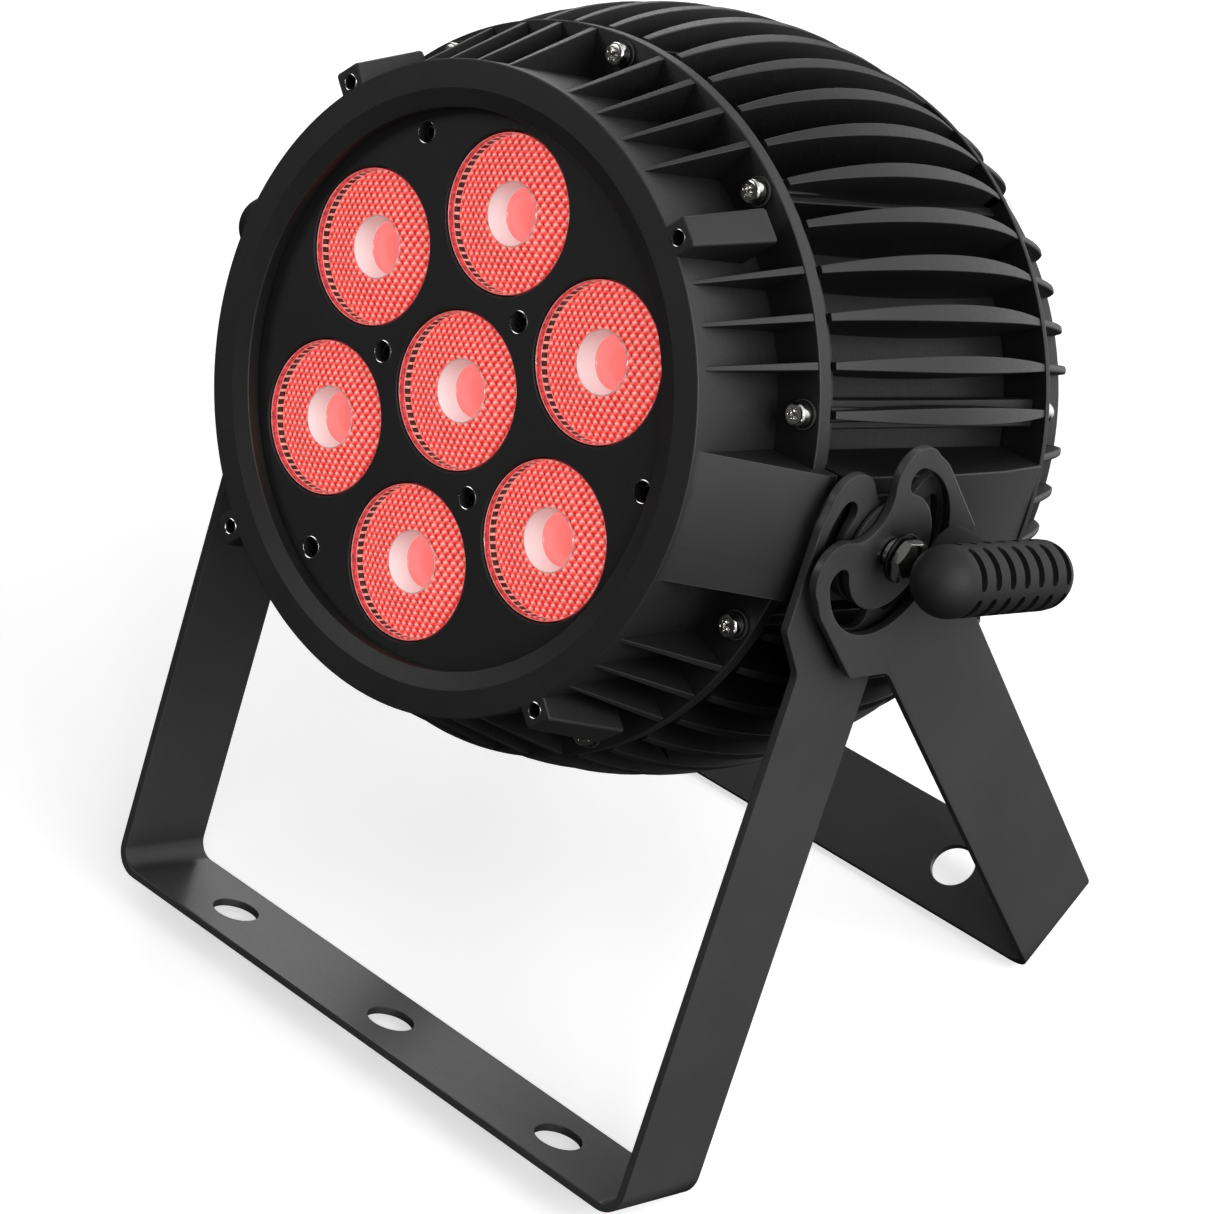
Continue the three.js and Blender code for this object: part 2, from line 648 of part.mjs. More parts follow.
// The angle at which the rear yoke's bar touches the floor that the front yoke stands on.
function rearYokeAngle() {
  const half = LEG_WIDTH / 2;
  const frontReach = FRONT_YOKE_LENGTH + YOKE_THICK;
  const height = frontReach * Math.cos(FRONT_YOKE_ANGLE) + half * Math.sin(FRONT_YOKE_ANGLE);
  const rearReach = REAR_YOKE_LENGTH + YOKE_THICK;
  return Math.atan2(half, rearReach) + Math.acos(height / Math.hypot(rearReach, half));
}

// ---------------------------------------------------------------- pivots and clamp levers
function washer(radius, side, x0, x1) {
  return cut(
    pegX(radius, side * x0, side * x1, 0, 0, 16),
    pegX(PIVOT_HOLE_R, side * (x0 - 1), side * (x1 + 1), 0, 0, 8),
  );
}

function pivotStud(side) {
  return pegX(STUD_R, side * 86, side * (NUT_X - GAP), 0, 0, 12);
}

function leverNut(side) {
  return join(
    pegX(COLLAR_R, side * NUT_X, side * (NUT_X + 1), 0, 0, 20),
    pegX(NUT_R, side * (NUT_X + 0.8), side * (NUT_X + 1 + NUT_THICK), 0, 0, 6),
  );
}

function clampLever(side) {
  const x = side * LEVER_X;
  const grip = new THREE.CapsuleGeometry(LEVER_R, LEVER_LENGTH, 4, 14);
  const web = pegX(LEVER_WEB_R, side * LEVER_WEB_X, x, LEVER_WEB_AT, 0, 16);
  return join(toSolid(grip.translate(x, LEVER_LENGTH / 2, 0)), web);
}

// ---------------------------------------------------------------- assembly
const light = new THREE.Group();
const head = new THREE.Group();
head.rotation.x = -HEAD_TILT;
const frontYokeGroup = new THREE.Group();
frontYokeGroup.rotation.x = -FRONT_YOKE_ANGLE;
const rearYokeGroup = new THREE.Group();
rearYokeGroup.rotation.x = rearYokeAngle();
light.add(head, frontYokeGroup, rearYokeGroup);

function add(group, name, solid, finish) {
  const mesh = new THREE.Mesh(toGeometry(solid), finish);
  mesh.name = name;
  group.add(mesh);
}

add(head, 'front_housing', frontHousing(), coatedCasting);
add(head, 'front_gasket', ring(78, 84, FLANGE_Y + FLANGE_THICK + GAP, HEATSINK_Y - GAP), rubber);
screwPlaces.forEach((place, k) => add(head, `housing_screw_${k + 1}`, housingScrew(place), chrome));
add(head, 'lens_panel', lensPanel(), coatedCasting);
panelScrews.forEach((at, k) => add(head, `panel_screw_${k + 1}`, panelScrew(at), chrome));
lensCentres.forEach((at, k) => add(head, `collimator_lens_${k + 1}`, collimatorLens(at), clearLens));
add(head, 'lens_holder', lensHolder(), blackPlastic);
add(head, 'led_board', ledBoard(), circuitBoard);
add(head, 'heatsink_housing', heatsinkHousing(), coatedCasting);
add(head, 'power_supply', powerSupply(), aluminium);
add(head, 'driver_board', driverBoard(), circuitBoard);
add(head, 'rear_gasket', ring(72, 79, RING_Y, RING_Y + 1), rubber);
add(head, 'rear_cover', rearCover(), coatedCasting);
add(head, 'display_window', displayWindow(), displayGlass);
['menu', 'down', 'up', 'enter'].forEach((name, k) =>
  add(head, `button_${name}`, pushButton(buttonCentres[k]), rubber));
sockets.forEach((socket) => add(head, socket.name, connector(socket), blackPlastic));
add(head, 'vent_valve', ventValve(), blackPlastic);
add(head, 'safety_eye', safetyEye(), sheetSteel);

for (const [name, side] of [['right', 1], ['left', -1]]) {
  const inner = washer(WASHER_R, side, PAD_FACE_X + GAP, FRONT_YOKE_X - YOKE_THICK - GAP);
  add(head, `pad_washer_${name}`, inner, rubber);
  add(head, `pivot_stud_${name}`, pivotStud(side), chrome);
  add(head, `lever_nut_${name}`, leverNut(side), chrome);
  add(head, `clamp_lever_${name}`, clampLever(side), blackPlastic);
  const between = washer(WASHER_R, side, FRONT_YOKE_X + GAP, REAR_YOKE_X - YOKE_THICK - GAP);
  add(frontYokeGroup, `yoke_washer_${name}`, between, rubber);
}
add(frontYokeGroup, 'front_yoke', yoke(FRONT_YOKE_X, FRONT_YOKE_LENGTH), powderCoat);
add(rearYokeGroup, 'rear_yoke', yoke(REAR_YOKE_X, REAR_YOKE_LENGTH), powderCoat);

// Set the origin under the middle of the bounding box, on the floor.
const bounds = new THREE.Box3().setFromObject(light, true);
const middle = bounds.getCenter(new THREE.Vector3());
light.position.set(-middle.x, -middle.y, -bounds.min.z);

export default light;
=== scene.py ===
# Looks for the par can light: detailed meshes, materials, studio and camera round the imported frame.
# Lengths are millimetres in each part's own axes, as on the CAD side, and become metres when a piece is placed.
import json
import math

import bmesh
import bpy
from mathutils import Matrix, Vector
from mathutils.geometry import delaunay_2d_cdt, tessellate_polygon

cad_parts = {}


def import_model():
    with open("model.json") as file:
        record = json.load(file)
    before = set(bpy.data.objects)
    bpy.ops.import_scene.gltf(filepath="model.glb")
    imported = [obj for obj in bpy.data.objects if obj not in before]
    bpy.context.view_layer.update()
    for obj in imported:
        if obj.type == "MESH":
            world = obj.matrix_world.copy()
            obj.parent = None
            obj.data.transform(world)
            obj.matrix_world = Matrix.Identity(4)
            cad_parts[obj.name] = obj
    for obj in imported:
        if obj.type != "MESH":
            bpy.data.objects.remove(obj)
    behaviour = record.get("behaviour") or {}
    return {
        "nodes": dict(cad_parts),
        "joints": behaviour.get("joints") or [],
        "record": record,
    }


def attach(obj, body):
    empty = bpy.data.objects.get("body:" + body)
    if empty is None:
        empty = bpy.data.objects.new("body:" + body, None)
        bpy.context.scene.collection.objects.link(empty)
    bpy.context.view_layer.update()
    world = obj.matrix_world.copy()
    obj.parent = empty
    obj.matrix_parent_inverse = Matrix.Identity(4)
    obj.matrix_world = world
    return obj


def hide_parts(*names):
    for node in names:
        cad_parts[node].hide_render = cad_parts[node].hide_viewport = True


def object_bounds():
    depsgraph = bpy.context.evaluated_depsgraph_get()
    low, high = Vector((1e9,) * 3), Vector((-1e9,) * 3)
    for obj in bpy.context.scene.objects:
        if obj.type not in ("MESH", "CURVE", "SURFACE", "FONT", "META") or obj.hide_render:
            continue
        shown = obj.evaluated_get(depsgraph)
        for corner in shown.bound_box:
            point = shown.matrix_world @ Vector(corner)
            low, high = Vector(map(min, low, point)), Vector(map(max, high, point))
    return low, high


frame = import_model()
cad_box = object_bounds()

MM = 0.001
DEG = math.pi / 180
TURN = 2 * math.pi

# ------------------------------ the frame's own axes
joints = {joint["name"]: joint for joint in frame["joints"]}
mounts = {mount["name"]: mount for mount in frame["record"]["mounts"]}
pivot = Vector(joints["head_tilt"]["pos_m"])


def axes(y_axis, z_axis):
    """Millimetres in axes with that Y and Z, from the pivot, to metres in the row frame."""
    y, z = Vector(y_axis).normalized(), Vector(z_axis).normalized()
    turn = Matrix((y.cross(z), y, z)).transposed().to_4x4()
    return Matrix.Translation(pivot) @ turn @ Matrix.Scale(MM, 4)


across = Vector((1, 0, 0))
look = Vector(joints["button_menu_press"]["axis"])
HEAD = axes(-look, across.cross(-look))
front_down = Vector(mounts["front_yoke_bar"]["axis"])
rear_down = Vector(mounts["rear_yoke_bar"]["axis"])
FRONT_YOKE = axes((-front_down).cross(across), -front_down)
REAR_YOKE = axes((-rear_down).cross(across), -rear_down)

# ------------------------------ driving dimensions
GRID_COUNT = 50
GRID_STEP = TURN / GRID_COUNT
SCREW_PLACES = range(0, GRID_COUNT, 5)
TAB_PLACES = (6, 19, 31, 44)
PAD_PLACES = (11, 12, 13, 14, 36, 37, 38, 39)
ROUND_STEPS = 4 * GRID_COUNT

BEZEL_R = 79.85
BEZEL_Y = -52.6
OPENING_R = 68.2
BEVEL_R = 72.8
WALL_R = 79
FLANGE_R = 91.5
FLANGE_Y = -21.8
FLANGE_THICK = 4.4
SEAT_Y = -22.4
CAVITY_R = 74
TAB_HOLE_PCR = 81.6
PANEL_Y = -47.4
PANEL_THICK = 3
PANEL_R = 70.9
SCREW_PCR = 87
SCREW_HOLE_R = 2.2
SCREW_HEAD_R = 2.9
SCREW_HEAD_Y = -25.9
SCREW_HEAD_HEIGHT = 3.2

LENS_R = 19.5
LENS_PCR = 45.5
LENS_HOLE_R = 19.9
BORE_R = 7.6
PANEL_HOLE_R = 2.6
PANEL_SCREW_PCRS = ((26.3, 60), (63.7, 0))

HEATSINK_Y = -15.8
DRUM_R = 80
HEATSINK_BACK = 72.2
FIN_R = 99.85
FIN_MID_Y = 28.7
FIN_HALF_LENGTH = 113
PAD_FRONT_R = 95.2
PAD_FACE_X = 95.5

RING_R = 92.5
RING_Y = 72.5
RING_THICK = 1.6
COVER_R = 81.3
COVER_BACK = 96.2
COVER_THICK = 3.2
COVER_INSIDE = COVER_BACK - COVER_THICK

YOKE_THICK = 2.3
LEG_HALF = 15
BEND_R = 5.2
HOLE_R = 6.5
HOLE_STEP = 64.3
FRONT_YOKE_X = 99.5
FRONT_YOKE_LENGTH = 181.4
REAR_YOKE_X = 103.5
REAR_YOKE_LENGTH = 187.4

STUD_R = 3
PIVOT_HOLE_R = 3.5
NUT_X = 106.4
LEVER_X = 120.8
LEVER_R = 8.8
LEVER_LENGTH = 38.2


def grid_angle(place):
    """Angle of a place on the head's grid, counted clockwise from the top."""
    return math.pi / 2 - place * GRID_STEP


def polar(radius, angle):
    return radius * math.cos(angle), radius * math.sin(angle)


SCREW_SPOTS = [polar(SCREW_PCR, grid_angle(place)) for place in SCREW_PLACES]
TAB_HOLE_SPOTS = [polar(TAB_HOLE_PCR, grid_angle(place)) for place in TAB_PLACES]
LENS_CENTRES = [(0, 0)] + [polar(LENS_PCR, (30 + 60 * k) * DEG) for k in range(6)]
PANEL_SCREWS = [polar(r, (start + 120 * k) * DEG) for k in range(3) for r, start in PANEL_SCREW_PCRS]


# ------------------------------ outlines and profiles
def rounded(points, radius, steps=3, closed=True):
    """The outline with each corner turned into an arc; a third value on a point is its own radius."""
    out = []
    count = len(points)
    for i, point in enumerate(points):
        corner = Vector(point[:2])
        own = point[2] if len(point) > 2 else radius
        if own <= 0 or (not closed and i in (0, count - 1)):
            out.append(corner)
            continue
        before = Vector(points[i - 1][:2]) - corner
        after = Vector(points[(i + 1) % count][:2]) - corner
        half = before.angle(after) / 2
        if half > 88 * DEG:
            out.append(corner)
            continue
        reach = min(own / math.tan(half), 0.46 * before.length, 0.46 * after.length)
        arc_r = reach * math.tan(half)
        inward = (before.normalized() + after.normalized()).normalized()
        centre = corner + inward * (arc_r / math.sin(half))
        start = corner + before.normalized() * reach - centre
        end = corner + after.normalized() * reach - centre
        sweep = math.atan2(start.x * end.y - start.y * end.x, start.dot(end))
        for k in range(steps + 1):
            turn = Matrix.Rotation(sweep * k / steps, 2)
            out.append(centre + turn @ start)
    return [tuple(p) for p in out]


def circle(radius, steps, x=0.0, z=0.0, start=0.0):
    return [(x + radius * math.cos(start + TURN * k / steps), z + radius * math.sin(start + TURN * k / steps))
            for k in range(steps)]


def rectangle(x0, x1, z0, z1, grow=0.0):
    return [(x0 - grow, z0 - grow), (x1 + grow, z0 - grow), (x1 + grow, z1 + grow), (x0 - grow, z1 + grow)]


def area(loop):
    return sum(a[0] * b[1] - b[0] * a[1] for a, b in zip(loop, loop[1:] + loop[:1])) / 2


def inset(loop, distance):
    """The loop moved to its left by a distance: inwards when it runs anticlockwise."""
    out = []
    for i, point in enumerate(loop):
        p = Vector(point)
        d0 = (p - Vector(loop[i - 1])).normalized()
        d1 = (Vector(loop[(i + 1) % len(loop)]) - p).normalized()
        n0, n1 = Vector((-d0.y, d0.x)), Vector((-d1.y, d1.x))
        middle = n0 + n1
        scale = min(2.0 / max(middle.length_squared, 1e-6), 1.6)
        out.append(tuple(p + middle * (distance * scale)))
    return out


# ------------------------------ closed shells
class Shell:
    """Vertices in millimetres and faces that close on themselves; each face may have a material index."""

    def __init__(self):
        self.verts = []
        self.faces = []
        self.kinds = []

    def point(self, x, y, z):
        self.verts.append((x, y, z))
        return len(self.verts) - 1

    def face(self, corners, kind=0):
        if len(set(corners)) > 2:
            self.faces.append(tuple(corners))
            self.kinds.append(kind)

    def bridge(self, low, high, kind=0):
        for k in range(len(low)):
            n = (k + 1) % len(low)
            self.face((low[k], low[n], high[n], high[k]), kind)

    def merge(self, other):
        shift = len(self.verts)
        self.verts += other.verts
        self.faces += [tuple(v + shift for v in f) for f in other.faces]
        self.kinds += other.kinds
        return self

    def moved(self, matrix):
        out = Shell()
        out.verts = [tuple(matrix @ Vector(v)) for v in self.verts]
        out.faces, out.kinds = list(self.faces), list(self.kinds)
        return out

    def mesh(self, name):
        data = bpy.data.meshes.new(name)
        data.from_pydata(self.verts, [], self.faces)
        data.polygons.foreach_set("material_index", self.kinds)
        work = bmesh.new()
        work.from_mesh(data)
        bmesh.ops.remove_doubles(work, verts=work.verts, dist=1e-4)
        bmesh.ops.recalc_face_normals(work, faces=work.faces)
        work.to_mesh(data)
        work.free()
        return data


def joined(shells):
    out = Shell()
    for shell in shells:
        out.merge(shell)
    return out


def lathe(profile, steps=ROUND_STEPS, kinds=None):
    """Revolves [radius, y] points round the Y axis; the profile ends on the axis or closes on itself."""
    shell = Shell()
    on_axis = profile[0][0] < 1e-6 and profile[-1][0] < 1e-6
    rings = []
    for r, y in profile:
        if r < 1e-6:
            rings.append([shell.point(0, y, 0)] * steps)
        else:
            rings.append([shell.point(r * math.sin(TURN * (k + 0.5) / steps), y, r * math.cos(TURN * (k + 0.5) / steps))
                          for k in range(steps)])
    spans = len(rings) - 1 if on_axis else len(rings)
    for i in range(spans):
        kind = kinds[i] if kinds else 0
        low, high = rings[i], rings[(i + 1) % len(rings)]
        for k in range(steps):
            n = (k + 1) % steps
            corners = []
            for v in (low[k], low[n], high[n], high[k]):
                if v not in corners:
                    corners.append(v)
            shell.face(corners, kind)
    return shell


def turned(points, edge=0.2, arcs=3, steps=ROUND_STEPS):
    """A turned solid from a profile that starts and ends on the axis; its corners are rounded."""
    return lathe(rounded(points, edge, arcs, False), steps)


def plate(outline, holes, thick, edge, place, steps=2):
    """A flat plate with rounded rims: place(u, v, h) gives the point at height h above its first face."""
    loops = [outline if area(outline) > 0 else outline[::-1]]
    loops += [hole if area(hole) < 0 else hole[::-1] for hole in holes]
    quarter = [(edge * (1 - math.sin(k * math.pi / 2 / steps)), edge * (1 - math.cos(k * math.pi / 2 / steps)))
               for k in range(steps + 1)]
    levels = quarter + [(gap, thick - h) for gap, h in reversed(quarter)]
    shell = Shell()
    ends = {0: [], len(levels) - 1: []}
    for loop in loops:
        rows = []
        for i, (gap, h) in enumerate(levels):
            flat = inset(loop, gap) if gap > 1e-9 else loop
            row = [shell.point(*place(u, v, h)) for u, v in flat]
            rows.append(row)
            if i in ends:
                ends[i].append((flat, row))
        for low, high in zip(rows, rows[1:]):
            shell.bridge(low, high)
    for faces in ends.values():
        flat = [[Vector((u, v, 0)) for u, v in loop] for loop, _ in faces]
        index = [v for _, row in faces for v in row]
        for triangle in tessellate_polygon(flat):
            shell.face([index[v] for v in triangle])
    return shell


def loft(sections):
    """Joins equal loops of points, and closes both ends."""
    shell = Shell()
    rows = [[shell.point(*p) for p in section] for section in sections]
    for low, high in zip(rows, rows[1:]):
        shell.bridge(low, high)
    shell.face(rows[0][::-1])
    shell.face(rows[-1])
    return shell


def radial_bar(sections, angle, edge=0.35):
    """A bar along Y at one angle: each section is (y, inner radius, outer radius, half thickness)."""
    out = Vector((math.cos(angle), math.sin(angle)))
    side = Vector((-out.y, out.x))
    loops = []
    for y, inner, outer, half in sections:
        rim = min(edge, half * 0.8)
        corner = [(rim * (1 - math.cos(a)), rim * (1 - math.sin(a))) for a in (0, 30 * DEG, 60 * DEG, 90 * DEG)]
        flat = [(inner, -half)] + [(outer - down, -half + over) for over, down in corner]
        flat += [(outer - down, half - over) for over, down in reversed(corner)] + [(inner, half)]
        loops.append([(out.x * r + side.x * t, y, out.y * r + side.y * t) for r, t in flat])
    return loft(loops)


def peg(radius, y0, y1, x=0.0, z=0.0, steps=32):
    """A cylinder along Y."""
    return loft([[(u, y, v) for u, v in circle(radius, steps, x, z)] for y in (y0, y1)])


def as_mesh(shape, name="solid"):
    return shape.mesh(name) if isinstance(shape, Shell) else shape


def put(name, data):
    """A new object in the scene."""
    item = bpy.data.objects.new(name, data)
    bpy.context.scene.collection.objects.link(item)
    return item


def boolean(base, tool, operation):
    """The union, difference or overlap of two shells or meshes, as a new mesh."""
    holders = [put("solid", as_mesh(shape)) for shape in (base, tool)]
    change = holders[0].modifiers.new("cut", "BOOLEAN")
    change.operation = operation
    change.solver = "MANIFOLD"
    change.object = holders[1]
    depsgraph = bpy.context.evaluated_depsgraph_get()
    result = bpy.data.meshes.new_from_object(holders[0].evaluated_get(depsgraph))
    result.materials.clear()
    for holder in holders:
        bpy.data.objects.remove(holder)
    return result


# ------------------------------ materials
class Graph:
    """Shader nodes: a socket given as an input is linked, and anything else is set on the node's own socket."""

    def __init__(self, owner):
        owner.use_nodes = True
        self.nodes = owner.node_tree.nodes
        self.links = owner.node_tree.links

    def fill(self, node, inputs):
        for key, value in inputs.items():
            if isinstance(value, bpy.types.NodeSocket):
                self.links.new(value, node.inputs[key])
            else:
                node.inputs[key].default_value = value

    def add(self, kind, inputs, output=0, **settings):
        """Adds a node and gives back one of its outputs."""
        node = self.nodes.new("ShaderNode" + kind)
        for key, value in settings.items():
            setattr(node, key, value)
        self.fill(node, inputs)
        return node.outputs[output]

    def noise(self, scale, detail=3.0, roughness=0.55):
        """Noise in object space; the scale is in features per metre."""
        place = self.add("TexCoord", {}, "Object")
        return self.add("TexNoise", {"Vector": place, "Scale": scale, "Detail": detail, "Roughness": roughness}, "Fac")

    def remap(self, source, low, high, first=0.3, last=0.7):
        return self.add("MapRange", {"Value": source, "From Min": first, "From Max": last, "To Min": low,
                                     "To Max": high}, "Result")

    def two_tone(self, source, dark, light):
        ramp = self.nodes.new("ShaderNodeValToRGB")
        for element, position, color in zip(ramp.color_ramp.elements, (0.35, 0.65), (dark, light)):
            element.position = position
            element.color = (*color, 1)
        self.links.new(source, ramp.inputs["Fac"])
        return ramp.outputs["Color"]

    def blend(self, share, first, second):
        return self.add("Mix", {"Factor": share, 6: first, 7: second}, 2, data_type="RGBA")

    def attribute(self, name):
        return self.add("Attribute", {}, "Fac", attribute_name=name)


def new_material(name):
    material = bpy.data.materials.new(name)
    graph = Graph(material)
    return material, graph, graph.nodes["Principled BSDF"]


PAINTED_SHADE_COLOUR = (0.001, 0.001, 0.001, 1)  # painted shade: the colour laid at the bottom of a corner or gap
PAINTED_EDGE_HIGHLIGHT = (0.13, 0.13, 0.13, 1)  # painted highlight: the colour laid along an outer edge


def coated(name, dark, light, rough, grain, relief, metallic=0.0, painted_shade_reach=0.0, coat=0.0, painted_highlight_reach=0.0):
    """A painted, moulded or cast surface: fine grain in the bump, slow change in colour and gloss.

    hollow is the distance in metres over which corners and gaps get darker by a painted shade, worn is how far from an
    outer edge the surface gets lighter by a painted highlight, and coat is a clear top layer.
    """
    material, graph, shader = new_material(name)
    fine = graph.noise(grain, 4.0, 0.6)
    tone = graph.two_tone(graph.noise(35), dark, light)
    # painted shade: corners and gaps darkened towards near black, darker the more closed in they are
    if painted_shade_reach:
        shade = graph.add("AmbientOcclusion", {"Distance": painted_shade_reach}, "AO", samples=8)
        tone = graph.blend(graph.add("Math", {0: shade, 1: 2}, operation="POWER"), PAINTED_SHADE_COLOUR, tone)
    if painted_highlight_reach:
        # painted highlight: outer edges made a lighter grey
        edge = graph.add("AmbientOcclusion", {"Distance": painted_highlight_reach}, "AO", samples=8, inside=True)
        tone = graph.blend(graph.remap(edge, 0, 1, 0.75, 0.4), tone, PAINTED_EDGE_HIGHLIGHT)
    graph.fill(shader, {
        "Base Color": tone, "Roughness": graph.remap(fine, rough - 0.07, rough + 0.07), "Metallic": metallic,
        "Coat Weight": coat, "Coat Roughness": 0.2,
        "Normal": graph.add("Bump", {"Height": fine, "Strength": 0.35, "Distance": relief}, "Normal"),
    })
    return material


def grey(level, blue=0.0005):
    return level, level, level + blue


CAST_DARK, CAST_LIGHT = grey(0.019), grey(0.024)
powder_coat = coated("black_powder_coat", grey(0.042), grey(0.05), 0.5, 1600, 0.00006, painted_shade_reach=0.012, coat=0.3)
cast_coat = coated("black_cast_housing", CAST_DARK, CAST_LIGHT, 0.5, 1200, 0.00006, painted_shade_reach=0.03, coat=0.04)
front_coat = coated("black_front_housing", CAST_DARK, CAST_LIGHT, 0.5, 1200, 0.00006, painted_shade_reach=0.03, coat=0.04,
                    painted_highlight_reach=0.0005)
panel_coat = coated("matte_black_panel", grey(0.011), grey(0.015), 0.55, 2200, 0.00003)
grip_rubber = coated("soft_grip", grey(0.007), grey(0.01), 0.62, 1800, 0.00007, painted_shade_reach=0.006)
black_rubber = coated("black_rubber", grey(0.008, 0), grey(0.013, 0), 0.7, 1500, 0.00006)
black_plastic = coated("black_plastic", grey(0.012, 0), grey(0.018, 0), 0.42, 1400, 0.00004)
black_steel = coated("blackened_steel", grey(0.01, 0.001), grey(0.02, 0.001), 0.35, 900, 0.00004, 0.8)
green_board = coated("solder_mask", (0.01, 0.07, 0.025), (0.015, 0.1, 0.04), 0.4, 700, 0.00005)
sheet_metal = coated("sheet_steel", grey(0.42, 0.01), grey(0.52, 0.01), 0.36, 500, 0.00004, 1.0)
chrome = coated("polished_steel", (0.72, 0.71, 0.68), (0.82, 0.81, 0.79), 0.13, 600, 0.00002, 1.0)


def glowing(name, dark, light, strength, rough, scale):
    """Clear plastic with light inside: its colour varies and it gives off that colour."""
    material, graph, shader = new_material(name)
    tone = graph.two_tone(graph.noise(scale), dark, light)
    graph.fill(shader, {"Base Color": tone, "Emission Color": tone, "Emission Strength": strength, "Roughness": rough,
                        "Coat Weight": 0.4, "Coat Roughness": 0.08})
    return material


def lens_face():
    """Small lenses side by side: red in the middle of each, with a painted glint at some corners where they meet and a
    painted shade spot at the others.
    """
    material, graph, shader = new_material("lens_face")
    tone = graph.two_tone(graph.noise(260, 2.0), (0.92, 0.02, 0.016), (1.0, 0.06, 0.052))
    # painted glint: pink-white where the small lenses would catch the light
    tone = graph.blend(graph.attribute("painted_light"), tone, (1.0, 0.62, 0.56, 1))
    # painted shade: dark spots at other corners
    tone = graph.blend(graph.attribute("painted_shade_spot"), tone, (0.08, 0.006, 0.006, 1))
    graph.fill(shader, {"Base Color": tone, "Emission Color": tone, "Emission Strength": 0.64, "Roughness": 0.4,
                        "Specular IOR Level": 0.2})
    return material


def bore_wall():
    """Clear plastic round the bore: painted light makes it whiter low down, where the light gathers."""
    material, graph, shader = new_material("bore_wall")
    shade = graph.two_tone(graph.noise(60), (0.36, 0.27, 0.25), (0.5, 0.4, 0.38))
    # painted light: white on the lower part of the bore wall
    tone = graph.blend(graph.attribute("painted_light"), shade, (0.76, 0.73, 0.73, 1))
    graph.fill(shader, {"Base Color": tone, "Emission Color": tone, "Emission Strength": 0.36, "Roughness": 0.3})
    return material


lens_materials = [
    lens_face(),
    # painted reflection: dark cells on a band of the rim wall
    coated("lens_painted_dark_reflection", (0.012, 0.007, 0.006), (0.05, 0.03, 0.024), 0.15, 900, 0.00002),
    bore_wall(),
    glowing("bore_floor", (0.97, 0.17, 0.16), (1.0, 0.2, 0.19), 0.78, 0.3, 50),
    glowing("lens_rim_band", (0.22, 0.02, 0.025), (0.75, 0.07, 0.075), 0.35, 0.2, 900),
    glowing("lens_pale_line", (0.5, 0.22, 0.2), (0.85, 0.5, 0.46), 0.3, 0.2, 700),
]

glass, graph, shader = new_material("display_glass")
graph.fill(shader, {"Base Color": graph.two_tone(graph.noise(60), (0.004, 0.006, 0.01), (0.008, 0.011, 0.017)),
                    "Roughness": graph.remap(graph.noise(500), 0.05, 0.12)})


# ------------------------------ pieces
SMOOTH_ANGLE = 32 * DEG


def add(name, mesh, place, body, materials, replaces=()):
    """Puts a mesh, in metres, in the scene as a piece of the light."""
    item = put(name, mesh)
    item.matrix_world = place
    if not mesh.materials:
        for material in materials:
            mesh.materials.append(material)
    mesh.shade_smooth()
    mesh.set_sharp_from_angle(angle=SMOOTH_ANGLE)
    item.modifiers.new("shading", "WEIGHTED_NORMAL").keep_sharp = True
    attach(item, body)
    if replaces:
        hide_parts(*replaces)


def metres(shape, name):
    """A mesh in metres that several pieces share."""
    data = as_mesh(shape, name)
    data.transform(Matrix.Scale(MM, 4))
    return data


def in_metres(place):
    return place @ Matrix.Scale(1 / MM, 4)


def build(name, shape, place, body, slot, material, *replaces):
    """A piece made once: its mesh goes straight to its place in the row frame."""
    data = as_mesh(shape, name)
    data.transform(place)
    add(name, data, Matrix.Identity(4), body, [material], replaces)


def on_head(name, shape, slot, material, *replaces, place=HEAD):
    build(name, shape, place, "head", slot, material, *replaces)


def head_at(x, y, z):
    return HEAD @ Matrix.Translation((x, y, z))


